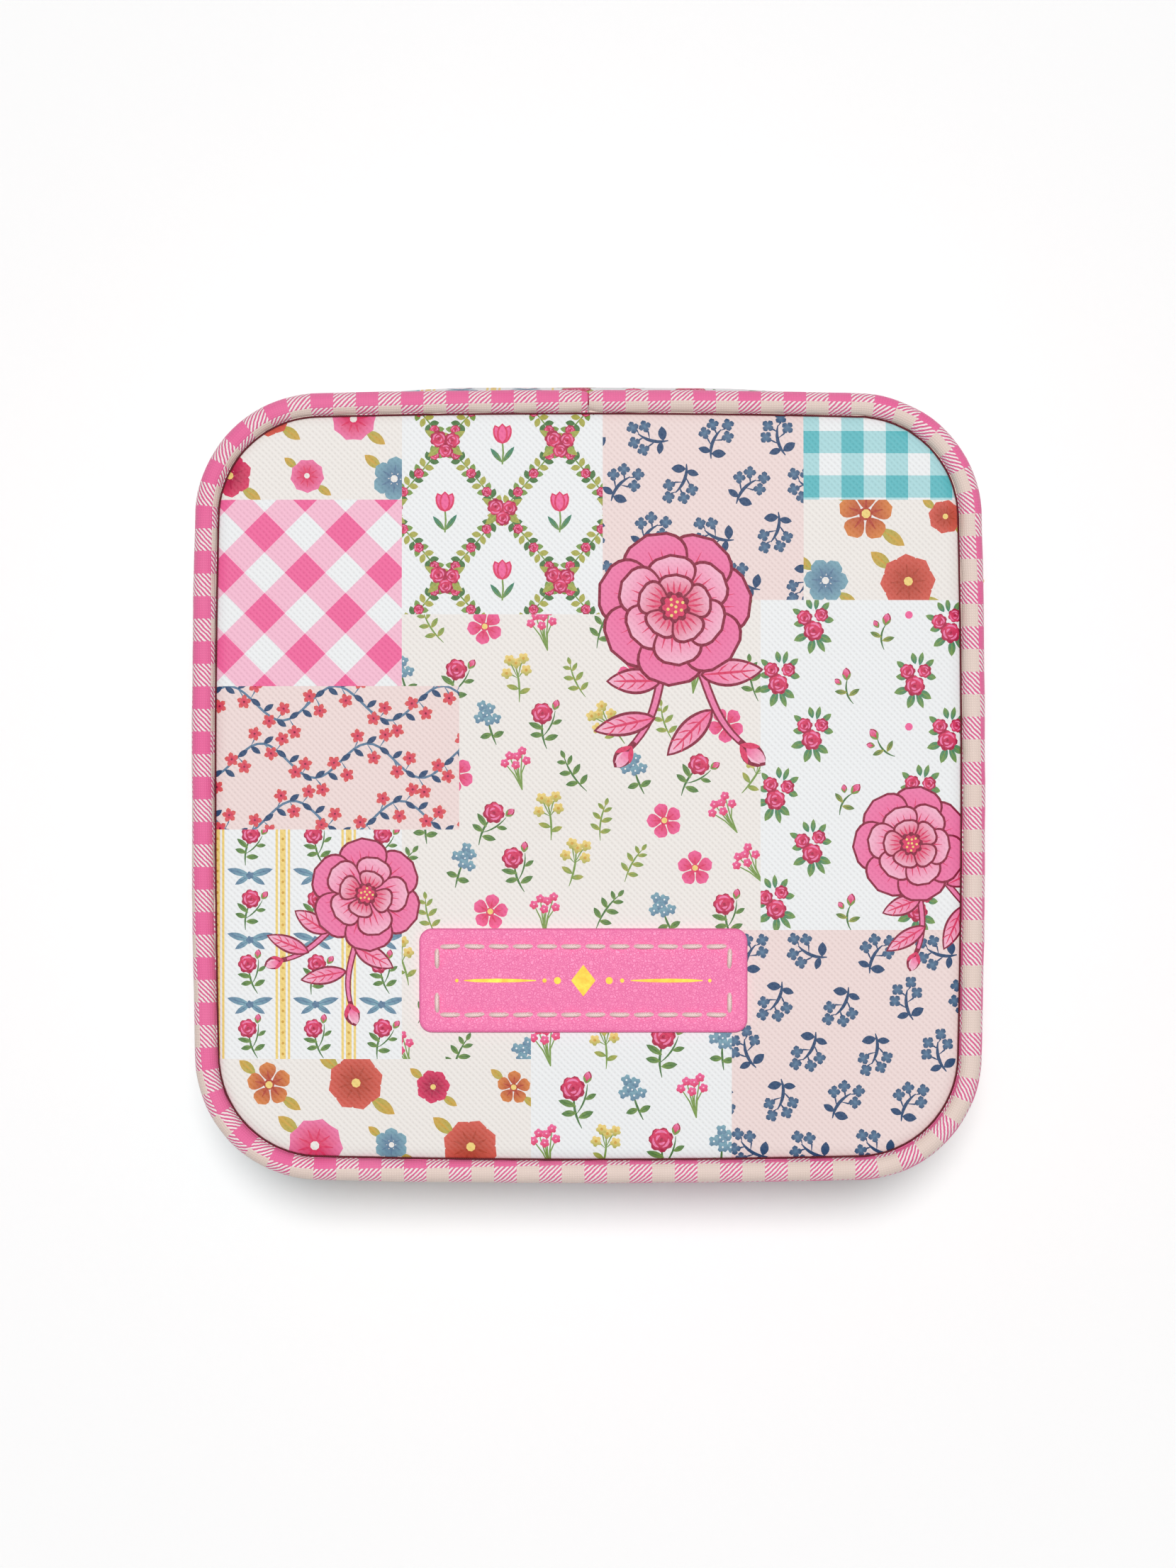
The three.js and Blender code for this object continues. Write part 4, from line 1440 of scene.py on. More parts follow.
@dataclass(frozen=True)
class Skin:
    """A printed sheet with a thickness: where its flat points come to lie, in front and behind."""

    edge: Sequence[Flat]
    lines: Sequence[Sequence[Flat]]
    front: Lift
    back: Lift
    bent: bool = False

    def mesh(self, name: str, design: Print) -> Mesh:
        """Make the printed mesh: the front, the back, and the strip that joins their edges.

        Args:
            name: The mesh's name.
            design: What is printed on it, kept as the attribute "print".

        Returns:
            The mesh, in metres.
        """
        flat, cells, colours = design.cut(self.edge, self.lines)
        used = sorted({corner for cell in cells for corner in cell})
        index = {corner: number for number, corner in enumerate(used)}
        faces = [tuple(index[corner] for corner in cell) for cell in cells]
        flat = [tuple(flat[corner]) for corner in used]
        points = [self.front(*place) * MM for place in flat]
        places = [flat[corner] for face in faces for corner in face]
        loop = self._rim(faces, name)
        corners = [Vector(flat[corner]) for corner in loop]
        edges = linked(self.lines if self.bent else (), corners)
        sheet = [list(range(len(loop)))]
        behind, _, backs, _, _, inside = delaunay_2d_cdt(corners, edges, sheet, 0, JOIN, True)
        found = {(round(corner.x, 2), round(corner.y, 2)): number for number, corner in enumerate(behind)}
        start = len(points)
        points.extend(self.back(*corner) * MM for corner in behind)
        below = {}
        for corner in loop:
            place = Vector(flat[corner])
            near = found.get((round(place.x, 2), round(place.y, 2)))
            if near is None:
                near = min(range(len(behind)), key=lambda number: (behind[number] - place).length_squared)
            below[corner] = start + near
        for here, there in zip(loop, loop[1:] + loop[:1]):
            ways = {there: there, here: here, below[here]: here, below[there]: there}
            faces.append(tuple(ways))
            places.extend(flat[corner] for corner in ways.values())
        for cell, holders in zip(backs, inside):
            if holders:
                faces.append(tuple(start + corner for corner in reversed(cell)))
                places.extend(tuple(behind[corner]) for corner in reversed(cell))
        mesh = bpy.data.meshes.new(name)
        mesh.from_pydata(points, [], faces)
        mesh.uv_layers.new(name="cloth").data.foreach_set("uv", np.array(places).ravel())
        shades = np.ones((len(places), 4), np.float32)
        shades[:, :3] = Ink.BLUSH.value
        shades[: 3 * len(cells), :3] = colours.reshape(-1, 3)
        mesh.color_attributes.new("print", "FLOAT_COLOR", "CORNER").data.foreach_set("color", shades.ravel())
        mesh.validate()
        work = bmesh.new()
        work.from_mesh(mesh)
        loose = [vertex for vertex in work.verts if not vertex.link_faces]
        bmesh.ops.delete(work, geom=loose, context="VERTS")
        bmesh.ops.holes_fill(work, edges=[edge for edge in work.edges if edge.is_boundary], sides=0)
        bmesh.ops.recalc_face_normals(work, faces=work.faces)
        torn = sum(not edge.is_manifold for edge in work.edges)
        work.to_mesh(mesh)
        work.free()
        log.info("%s: %d triangles, %d open edges", name, len(mesh.polygons), torn)
        return mesh

    def _rim(self, faces: Sequence[tuple[int, ...]], name: str) -> list[int]:
        """Give the points of the front's rim in order.

        Args:
            faces: The front's triangles.
            name: The mesh's name.

        Returns:
            The points.
        """
        sides = [side for face in faces for side in zip(face, face[1:] + face[:1])]
        whole = set(sides)
        rim = [(here, there) for here, there in sides if (there, here) not in whole]
        after = dict(rim)
        loop = [rim[0][0]]
        while after.get(loop[-1], loop[0]) != loop[0] and len(loop) < len(rim):
            loop.append(after[loop[-1]])
        if len(loop) != len(rim):
            log.warning("%s has an edge in pieces: %d of %d", name, len(loop), len(rim))
        return loop


# Finishes


class Recipe:
    """A new material with its shader, and short ways to add nodes and join them."""

    def __init__(self, name: str) -> None:
        """Start the material.

        Args:
            name: Its name.
        """
        self.material = bpy.data.materials.new(name)
        self.material.use_nodes = True
        self.nodes = self.material.node_tree.nodes
        self.links = self.material.node_tree.links
        self.shader = self.nodes["Principled BSDF"]

    def add(self, kind: str, feeds: dict | None = None, **settings: object) -> bpy.types.Node:
        """Add a node.

        Args:
            kind: The node's type, without the words that all shader nodes start with.
            feeds: A value or a socket for each of its inputs.
            settings: Its own settings.

        Returns:
            The node.
        """
        node = self.nodes.new("ShaderNode" + kind)
        for name, value in settings.items():
            setattr(node, name, value)
        for key, value in (feeds or {}).items():
            self.feed(node.inputs[key], value)
        return node

    def feed(self, socket: Socket, value: object) -> None:
        """Link a socket to an input, or set the input's value."""
        if isinstance(value, Socket):
            self.links.new(value, socket)
        else:
            socket.default_value = (*value, 1.0) if socket.type == "RGBA" else value

    def math(self, operation: str, first: object, second: object = 0.0) -> Socket:
        """Add a sum and return its result."""
        return self.add("Math", {0: first, 1: second}, operation=operation).outputs[0]

    def times(self, first: object, second: object) -> Socket:
        """Multiply two values."""
        return self.math("MULTIPLY", first, second)

    def plus(self, first: object, second: object) -> Socket:
        """Add two values."""
        return self.math("ADD", first, second)

    def mix(self, share: object, first: object, second: object, blend: str = "MIX") -> Socket:
        """Mix two colours and return the result."""
        return self.add("Mix", {0: share, 6: first, 7: second}, data_type="RGBA", blend_type=blend).outputs[2]

    def place(self, scale: float = 1000.0) -> Socket:
        """Give the object's own coordinates, a unit of which is this many to the metre."""
        place = self.add("TexCoord").outputs["Object"]
        return self.add("VectorMath", {0: place, 1: (scale,) * 3}, operation="MULTIPLY").outputs[0]

    def cloth(self) -> tuple[Socket, Socket]:
        """Give the mesh's flat coordinates, in millimetres unless its maker says otherwise."""
        return tuple(self.add("SeparateXYZ", {0: self.add("UVMap", uv_map="cloth").outputs[0]}).outputs[:2])

    def noise(self, scale: float, detail: float = 3.0, place: Socket | None = None) -> Socket:
        """Add a noise over the object's coordinates in millimetres, or over others, and return its height."""
        feeds = {"Vector": place or self.place(), "Scale": scale, "Detail": detail}
        return self.add("TexNoise", feeds).outputs[0]

    def ridges(self, place: object, pitch: float) -> Socket:
        """Give narrow ridges of 0 to 1 along a coordinate."""
        return self.math("ABSOLUTE", self.math("SINE", self.times(place, math.pi / pitch)))

    def spread(self, height: object, low: float, high: float) -> Socket:
        """Spread a height of 0 to 1 over a range."""
        return self.add("MapRange", {0: height, 3: low, 4: high}).outputs[0]

    def bump(self, height: object, depth: float, strength: float = 1.0) -> None:
        """Let a height of 0 to 1 stand a number of millimetres proud."""
        node = self.add("Bump", {"Height": height, "Distance": depth * MM, "Strength": strength})
        self.links.new(node.outputs[0], self.shader.inputs["Normal"])

    def shaded(self, **values: object) -> Material:
        """Set or link the shader's own inputs, a name's underscores standing for spaces, and finish."""
        for name, value in values.items():
            self.feed(self.shader.inputs[name.replace("_", " ")], value)
        return self.material


def dimmed(colour: Colour, share: float = 0.8) -> Colour:
    """Give a colour with a share of its light."""
    return tuple(share * part for part in colour)


@dataclass(frozen=True)
class PrintedLeatherette:
    """Coated cloth with a print and a fine diagonal cross grain, its grain's hollows painted darker as shade.
    """

    name: str = "printed_leatherette"
    grain: float = 0.62
    depth: float = 0.06
    roughness: float = 0.46

    def make(self) -> Material:
        """Make the material, which reads its colours from the attribute "print".

        Returns:
            The finish.
        """
        recipe = Recipe(self.name)
        times, plus = recipe.times, recipe.plus
        paint = recipe.add("VertexColor", layer_name="print").outputs[0]
        u, v = recipe.cloth()
        drift = times(recipe.noise(0.35, 2.0), 0.5)
        pitch = self.grain * math.sqrt(2)
        rising = recipe.math("POWER", recipe.ridges(plus(plus(u, v), drift), pitch), 0.7)
        falling = times(recipe.ridges(plus(recipe.math("SUBTRACT", u, v), drift), pitch), 0.75)
        fine = recipe.noise(6.0, 2.0)
        height = plus(times(recipe.math("MAXIMUM", rising, falling), 0.85), times(fine, 0.3))
        recipe.bump(height, self.depth, 0.8)
        # painted shade: the colour is darkened in the hollows of the grain
        painted_hollow_shade = times(recipe.math("SUBTRACT", 1.0, height), 0.34)
        low = recipe.mix(painted_hollow_shade, paint, (0.55, 0.5, 0.5), "MULTIPLY")
        tint = recipe.mix(times(recipe.noise(0.06), 0.07), low, (0.86, 0.82, 0.82), "MULTIPLY")
        rough = plus(times(fine, 0.16), self.roughness)
        return recipe.shaded(Base_Color=tint, Specular_IOR_Level=0.32, Roughness=rough)


@dataclass(frozen=True)
class GinghamCloth:
    """Woven gingham in pink: solid where both ways are pink, hatched where one is, with painted shade between
    its threads.
    """

    name: str = "gingham_piping"
    hatches: float = 4.5
    threads: float = 9.0
    solid: Colour = ink(247, 98, 161)
    line: Colour = ink(232, 88, 146)
    gap: Colour = ink(255, 247, 244)
    plain: Colour = ink(240, 218, 206)

    def make(self) -> Material:
        """Make the material, a unit of whose flat coordinates is one cell.

        Returns:
            The finish.
        """
        recipe = Recipe(self.name)
        times, plus = recipe.times, recipe.plus
        ragged = recipe.noise(1.1, 2.0)
        sway = times(recipe.math("SUBTRACT", ragged, 0.5), 0.06)
        u, v = (plus(way, sway) for way in recipe.cloth())
        column, row = (recipe.math("FLOORED_MODULO", recipe.math("FLOOR", way), 2.0) for way in (u, v))
        along = recipe.math("FRACT", times(plus(u, v), self.hatches))
        hatched = recipe.mix(recipe.math("LESS_THAN", along, 0.52), self.gap, self.line)
        colour = recipe.mix(recipe.math("MAXIMUM", column, row), self.plain, hatched)
        colour = recipe.mix(times(column, row), colour, self.solid)
        weave = times(*(recipe.ridges(way, 1 / self.threads) for way in (u, v)))
        # painted shade: the colour is darkened in the hollows between the threads
        painted_hollow_shade = times(recipe.math("SUBTRACT", 1.0, weave), 0.16)
        colour = recipe.mix(painted_hollow_shade, colour, (0.5, 0.4, 0.42), "MULTIPLY")
        colour = recipe.mix(times(recipe.noise(0.12), 0.12), colour, (1.0, 0.93, 0.94))
        recipe.bump(plus(weave, times(ragged, 0.6)), 0.05, 0.8)
        return recipe.shaded(Base_Color=colour, Roughness=0.62, Specular_IOR_Level=0.3, Sheen_Weight=0.12)


@dataclass(frozen=True)
class PebbledLeatherette:
    """Plain coated cloth with a fine pebble grain, the creases between its pebbles painted darker as shade.
    """

    name: str
    colour: Colour
    # painted shade colour for the creases between the pebbles
    painted_crease_shade: Colour
    cell: float = 0.42
    depth: float = 0.045
    roughness: float = 0.42

    def make(self) -> Material:
        """Make the material.

        Returns:
            The finish.
        """
        recipe = Recipe(self.name)
        place = recipe.place()
        stir = recipe.add("TexNoise", {"Vector": place, "Scale": 1.4, "Detail": 2.0}).outputs[1]
        bent = recipe.add("VectorMath", {0: place, 1: stir}, operation="ADD").outputs[0]
        feeds = {"Vector": bent, "Scale": 1 / self.cell}
        cells = recipe.add("TexVoronoi", feeds, feature="DISTANCE_TO_EDGE").outputs[0]
        dome = recipe.math("MINIMUM", recipe.times(cells, 4.0), 1.0)
        # painted shade: the colour is darkened in the creases between the pebbles
        colour = recipe.mix(0.75, recipe.mix(dome, self.painted_crease_shade, self.colour), self.colour)
        varied = recipe.mix(recipe.times(recipe.noise(0.25), 0.14), colour, dimmed(self.colour))
        recipe.bump(dome, self.depth, 0.6)
        return recipe.shaded(Base_Color=varied, Roughness=self.roughness, Specular_IOR_Level=0.42)


@dataclass(frozen=True)
class Velvet:
    """Short velvet with lighter patches at random, painted as the sheen of its unevenly brushed pile."""

    name: str
    colour: Colour
    # painted sheen colour for the patches where the pile is brushed another way
    painted_pile_sheen: Colour

    def make(self) -> Material:
        """Make the material.

        Returns:
            The finish.
        """
        recipe = Recipe(self.name)
        pile = recipe.noise(5.0, 2.0)
        # painted sheen: lighter patches where the pile is brushed another way
        share = recipe.math("MINIMUM", recipe.times(recipe.noise(0.09, 4.0), 1.1), 1.0)
        colour = recipe.mix(share, self.colour, self.painted_pile_sheen)
        colour = recipe.mix(recipe.times(pile, 0.3), colour, dimmed(self.colour, 0.72))
        recipe.bump(pile, 0.09, 0.7)
        recipe.shaded(Sheen_Weight=0.55, Sheen_Roughness=0.4, Sheen_Tint=(1.0, 0.86, 0.9))
        return recipe.shaded(Base_Color=colour, Roughness=0.92, Specular_IOR_Level=0.15)


@dataclass(frozen=True)
class TapeCloth:
    """The zip's woven tape, ribbed along its length, the grooves between its ribs painted darker as shade."""

    name: str = "zip_tape"
    colour: Colour = ink(244, 130, 178)
    # painted shade colour for the grooves between the ribs
    dark: Colour = ink(214, 92, 146)
    rib: float = 0.62

    def make(self) -> Material:
        """Make the material.

        Returns:
            The finish.
        """
        recipe = Recipe(self.name)
        u, v = recipe.cloth()
        picks = recipe.math("MAXIMUM", recipe.ridges(u, self.rib / 1.6), 0.35)
        weave = recipe.times(recipe.ridges(v, self.rib), picks)
        recipe.bump(weave, 0.07, 0.9)
        # painted shade: the colour is darker in the grooves between the ribs
        colour = recipe.mix(weave, self.dark, self.colour)
        return recipe.shaded(Base_Color=colour, Roughness=0.8, Specular_IOR_Level=0.2, Sheen_Weight=0.15)


@dataclass(frozen=True)
class Metal:
    """Polished plated metal with faint wear."""

    name: str
    colour: Colour
    roughness: float = 0.22

    def make(self) -> Material:
        """Make the material.

        Returns:
            The finish.
        """
        recipe = Recipe(self.name)
        wear = recipe.noise(1.3, 4.0)
        recipe.bump(recipe.noise(3.0), 0.012, 0.4)
        rough = recipe.spread(wear, self.roughness - 0.06, self.roughness + 0.12)
        tone = recipe.mix(recipe.times(wear, 0.25), self.colour, dimmed(self.colour))
        return recipe.shaded(Base_Color=tone, Metallic=1.0, Roughness=rough)


@dataclass(frozen=True)
class MirrorGlass:
    """Silvered glass."""

    name: str = "mirror"
    colour: Colour = ink(236, 240, 242)

    def make(self) -> Material:
        """Make the material.

        Returns:
            The finish.
        """
        recipe = Recipe(self.name)
        rough = recipe.spread(recipe.noise(0.04, 4.0), 0.015, 0.05)
        return recipe.shaded(Base_Color=self.colour, Metallic=1.0, Roughness=rough)


@dataclass(frozen=True)
class Thread:
    """Twisted sewing thread, the grooves of its twist painted darker as shade."""

    name: str
    colour: Colour
    # painted shade colour for the grooves of the twist
    dark: Colour

    def make(self) -> Material:
        """Make the material.

        Returns:
            The finish.
        """
        recipe = Recipe(self.name)
        x, y, z = recipe.add("SeparateXYZ", {0: recipe.place()}).outputs
        twist = recipe.ridges(recipe.plus(recipe.plus(x, y), z), 0.3)
        recipe.bump(twist, 0.05, 0.8)
        # painted shade: the colour is darker in the grooves of the twist
        colour = recipe.mix(twist, self.dark, self.colour)
        return recipe.shaded(Base_Color=colour, Roughness=0.7, Specular_IOR_Level=0.25)


@dataclass(frozen=True)
class Paper:
    """Lining paper over stiff card, with a little fibre in it."""

    name: str = "card"
    colour: Colour = ink(240, 196, 206)
    dark: Colour = ink(216, 160, 174)

    def make(self) -> Material:
        """Make the material.

        Returns:
            The finish.
        """
        recipe = Recipe(self.name)
        fibre = recipe.noise(2.4, 5.0)
        recipe.bump(fibre, 0.04, 0.5)
        colour = recipe.mix(fibre, self.dark, self.colour)
        return recipe.shaded(Base_Color=colour, Roughness=0.85, Specular_IOR_Level=0.2)


@dataclass(frozen=True)
class Backdrop:
    """The plain pale floor."""

    name: str = "floor"
    colour: Colour = ink(253, 253, 253)

    def make(self) -> Material:
        """Make the material.

        Returns:
            The finish.
        """
        recipe = Recipe(self.name)
        tone = recipe.times(recipe.noise(1.0, 2.0, recipe.place(4.0)), 0.02)
        recipe.shaded(Emission_Color=(1.0, 1.0, 1.0), Emission_Strength=0.04)
        colour = recipe.mix(tone, self.colour, (0.9, 0.9, 0.9))
        return recipe.shaded(Base_Color=colour, Roughness=0.9, Specular_IOR_Level=0.1)


@dataclass(frozen=True)
class Finish:
    """A material and the record's slot for it."""

    material: Material
    slot: str


class Finishes:
    """All the case's finishes, made once."""

    def __init__(self) -> None:
        """Make every finish."""
        # the pink leatherette's second colour is painted shade for its creases
        pink = PebbledLeatherette("pink_leatherette", ink(255, 128, 184), ink(232, 88, 146))
        # the velvets' second colours are painted sheen of the brushed pile
        velvet = Velvet("velvet", ink(240, 178, 194), ink(250, 206, 216))
        deep_velvet = Velvet("velvet_deep", ink(228, 146, 170), ink(242, 178, 196))
        # the thread's second colour is painted shade for the grooves of its twist
        thread = Thread("pink_thread", ink(255, 236, 230), ink(246, 196, 196))
        # the seam thread's dark colours are partly the thread's own and partly painted shadow of the groove
        seam = Thread("seam_thread", ink(112, 40, 48), ink(60, 16, 24))
        self.printed = Finish(PrintedLeatherette().make(), "printed_leatherette")
        self.gingham = Finish(GinghamCloth().make(), "gingham_piping")
        self.pink = Finish(pink.make(), "pink_leatherette")
        self.velvet = Finish(velvet.make(), "velvet")
        self.deep_velvet = Finish(deep_velvet.make(), "velvet")
        self.tape = Finish(TapeCloth().make(), "zip_tape")
        self.gold = Finish(Metal("zip_metal", ink(232, 188, 104)).make(), "zip_metal")
        self.foil = Finish(Metal("gold_foil", ink(206, 160, 66), 0.5).make(), "zip_metal")
        self.mirror = Finish(MirrorGlass().make(), "mirror")
        self.thread = Finish(thread.make(), "pink_leatherette")
        self.seam = Finish(seam.make(), "printed_leatherette")
        self.card = Finish(Paper().make(), "card")


def shown(name: str, mesh: Mesh, material: Material, sharp: float = 45.0) -> Object:
    """Put a mesh in the scene, shaded smooth.

    Args:
        name, mesh, material: The new object's name, its mesh and its only material.
        sharp: The angle in degrees past which an edge is drawn sharp.

    Returns:
        The new object.
    """
    mesh.materials.clear()
    mesh.materials.append(material)
    mesh.shade_smooth()
    mesh.set_sharp_from_angle(angle=math.radians(sharp))
    item = bpy.data.objects.new(name, mesh)
    bpy.context.scene.collection.objects.link(item)
    return item


def piece(name: str, mesh: Mesh, finish: Finish, body: str, *nodes: str, sharp: float = 45.0) -> Object:
    """Show a piece that rides on a body and the solids that it stands for.

    Args:
        name, mesh, finish: The piece's name, its mesh and its finish.
        body: The body that it moves with.
        nodes: The solids that it replaces.
        sharp: The angle in degrees past which an edge is drawn sharp.

    Returns:
        The piece.
    """
    item = shown(name, mesh, finish.material, sharp)
    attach(item, body)
    if nodes:
        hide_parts(*nodes)
    log.info("%s rides on %s with %d faces", name, body, len(mesh.polygons))
    return item


# What repeats along a path


@dataclass(frozen=True)
class Repeater:
    """Geometry Nodes that set copies of a unit along a path, evenly spaced and turned with it."""

    pitch: float
    sway: float = 0.0
    seed: int = 5

    def tree(self, material: Material) -> bpy.types.NodeTree:
        """Build the node tree.

        Args:
            material: What the copies are finished with.

        Returns:
            The tree.
        """
        tree = bpy.data.node_groups.new("repeat_along_path", "GeometryNodeTree")
        kinds = {"Path": "Geometry", "Unit": "Object", "Pitch": "Float", "Sway": "Float", "Seed": "Int"}
        for name, kind in kinds.items():
            tree.interface.new_socket(name, in_out="INPUT", socket_type="NodeSocket" + kind)
        tree.interface.new_socket("Copies", in_out="OUTPUT", socket_type="NodeSocketGeometry")
        add = tree.nodes.new
        entry, leave = add("NodeGroupInput").outputs, add("NodeGroupOutput")
        curve, spaced = add("GeometryNodeMeshToCurve"), add("GeometryNodeResampleCurve")
        unit, copies = add("GeometryNodeObjectInfo"), add("GeometryNodeInstanceOnPoints")
        tangent, aim = add("GeometryNodeInputTangent"), add("FunctionNodeAlignRotationToVector")
        dice, parts = add("FunctionNodeRandomValue"), add("ShaderNodeCombineXYZ")
        negative = add("ShaderNodeMath")
        lean, turn = add("FunctionNodeEulerToRotation"), add("FunctionNodeRotateRotation")
        whole, paint = add("GeometryNodeRealizeInstances"), add("GeometryNodeSetMaterial")
        spaced.mode, turn.rotation_space, negative.operation = "LENGTH", "LOCAL", "MULTIPLY"
        aim.axis, aim.pivot_axis = "X", "Z"
        negative.inputs[1].default_value = -1.0
        paint.inputs["Material"].default_value = material
        for source, node, socket in (
            (entry["Path"], curve, 0),
            (curve.outputs[0], spaced, "Curve"),
            (entry["Pitch"], spaced, "Length"),
            (spaced.outputs[0], copies, "Points"),
            (entry["Unit"], unit, "Object"),
            (unit.outputs["Geometry"], copies, "Instance"),
            (tangent.outputs[0], aim, "Vector"),
            (entry["Sway"], dice, 3),
            (entry["Sway"], negative, 0),
            (negative.outputs[0], dice, 2),
            (entry["Seed"], dice, "Seed"),
            (dice.outputs[1], parts, 2),
            (parts.outputs[0], lean, 0),
            (aim.outputs[0], turn, 0),
            (lean.outputs[0], turn, 1),
            (turn.outputs[0], copies, "Rotation"),
            (copies.outputs[0], whole, 0),
            (whole.outputs[0], paint, 0),
            (paint.outputs[0], leave, 0),
        ):
            tree.links.new(source, node.inputs[socket])
        return tree

    def along(self, name: str, paths: Iterable[Sequence[Vector]], unit: Mesh, finish: Finish) -> Mesh:
        """Set the unit along paths and turn the result into a plain mesh.

        Args:
            name: The new mesh's name.
            paths: The points of each path, in millimetres.
            unit: The mesh that is repeated, which lies along X.
            finish: What it is finished with.

        Returns:
            The mesh.
        """
        points: list[Vector] = []
        edges = linked(paths, points)
        line = bpy.data.meshes.new(name + "_path")
        line.from_pydata([point * MM for point in points], edges, [])
        carrier, pattern = (bpy.data.objects.new(name + "_part", mesh) for mesh in (line, unit))
        bpy.context.scene.collection.objects.link(pattern)
        modifier = carrier.modifiers.new("repeat", "NODES")
        modifier.node_group = self.tree(finish.material)
        values = {"Unit": pattern, "Pitch": self.pitch * MM, "Sway": self.sway, "Seed": self.seed}
        for socket in modifier.node_group.interface.items_tree:
            if socket.name in values:
                modifier[socket.identifier] = values[socket.name]
        mesh = evaluated(carrier)
        mesh.name = name
        bpy.data.objects.remove(pattern)
        return mesh


# The case's sub-assemblies


CASE = Outline(55.0, 55.0, 17.5, bow=0.45)
PARTING = 31.0
UP = Vector((0, 0, 1))


def quilt(low: Flat, high: Flat, seed: int) -> list[Patch]:
    """Split a rectangle into patches of mixed designs.

    Args:
        low, high: The rectangle's corners.
        seed: What fixes the splits and the designs.

    Returns:
        The patches.
    """
    dice = random.Random(seed)
    most = 31.0
    boxes = [(*low, *high)]
    patches: list[Patch] = []
    while boxes:
        x0, y0, x1, y1 = boxes.pop()
        width, height = x1 - x0, y1 - y0
        if width > most and width >= height * 0.8:
            cut = x0 + width * dice.uniform(0.38, 0.62)
            boxes += [(cut, y0, x1, y1), (x0, y0, cut, y1)]
        elif height > most:
            cut = y0 + height * dice.uniform(0.38, 0.62)
            boxes += [(x0, cut, x1, y1), (x0, y0, x1, cut)]
        else:
            recent = [patch.design for patch in patches[-3:]]
            design = dice.choice([kind for kind in Design if kind not in recent])
            patches.append(Patch(design, x0, y0, x1, y1))
    return patches


def rings(outline: Outline, insets: Sequence[float], step: float, corner_steps: int) -> list[list[Flat]]:
    """Give closed lines round an outline.

    Args:
        outline: The outline.
        insets: How far in each line lies.
        step: The longest step on a side.
        corner_steps: The steps round each corner.

    Returns:
        The lines, each with its first point repeated.
    """
    walk = outline.walk(step, corner_steps)
    return [[tuple(station.at(inset, 0).xy) for station in walk] for inset in insets]


def stitch(length: float, radius: float, up: Vector) -> Mesh:
    """Make one stitch: a thread that comes up out of its hole and goes down into the next.

    Args:
        length: Its length along X.
        radius: The thread's radius.
        up: The way out of the cloth.

    Returns:
        The mesh, in metres.
    """
    path = []
    for share in (step / 6 for step in range(7)):
        rise = radius * (2.4 * math.sin(math.pi * share) ** 0.6 - 1.5)
        path.append(Vector(((share - 0.5) * length, 0, 0)) + up * rise)
    return tube(path, radius, 6).mesh("stitch")


@dataclass(frozen=True)
class Padding:
    """Stuffs a mesh with a cloth simulation: pressure swells it, and a reach caps each point's way."""

    pressure: float
    reach: float
    frames: int = 20

    def stuff(self, mesh: Mesh, held: Callable[[Vector], bool]) -> list[Vector]:
        """Simulate a mesh.

        Args:
            mesh: The mesh, in metres.
            held: Tells whether a point, in millimetres, is sewn down.

        Returns:
            The points' new places, in millimetres.
        """
        scene = bpy.context.scene
        item = bpy.data.objects.new("pad_to_stuff", mesh)
        scene.collection.objects.link(item)
        sewn = item.vertex_groups.new(name="sewn")
        sewn.add([vertex.index for vertex in mesh.vertices if held(vertex.co / MM)], 1.0, "REPLACE")
        cloth = item.modifiers.new("stuffing", "CLOTH").settings
        cloth.quality, cloth.mass = 6, 0.2
        cloth.use_pressure, cloth.uniform_pressure_force = True, self.pressure
        cloth.vertex_group_mass = sewn.name
        cloth.effector_weights.gravity = 0.0
        cloth.tension_stiffness = cloth.compression_stiffness = 12.0
        cloth.shear_stiffness, cloth.bending_stiffness = 6.0, 0.6
        for number in range(1, self.frames + 1):
            scene.frame_set(number)
        swollen = item.evaluated_get(bpy.context.evaluated_depsgraph_get()).data
        result = []
        for before, after in zip(mesh.vertices, swollen.vertices):
            way = (after.co - before.co) / MM
            if way.length > self.reach:
                way = way.normalized() * self.reach
            result.append(before.co / MM + way)
        scene.frame_set(1)
        bpy.data.objects.remove(item)
        return result


@dataclass
class Assembly:
    """A part of the case that is built in one go, with what it is finished with."""

    finishes: Finishes


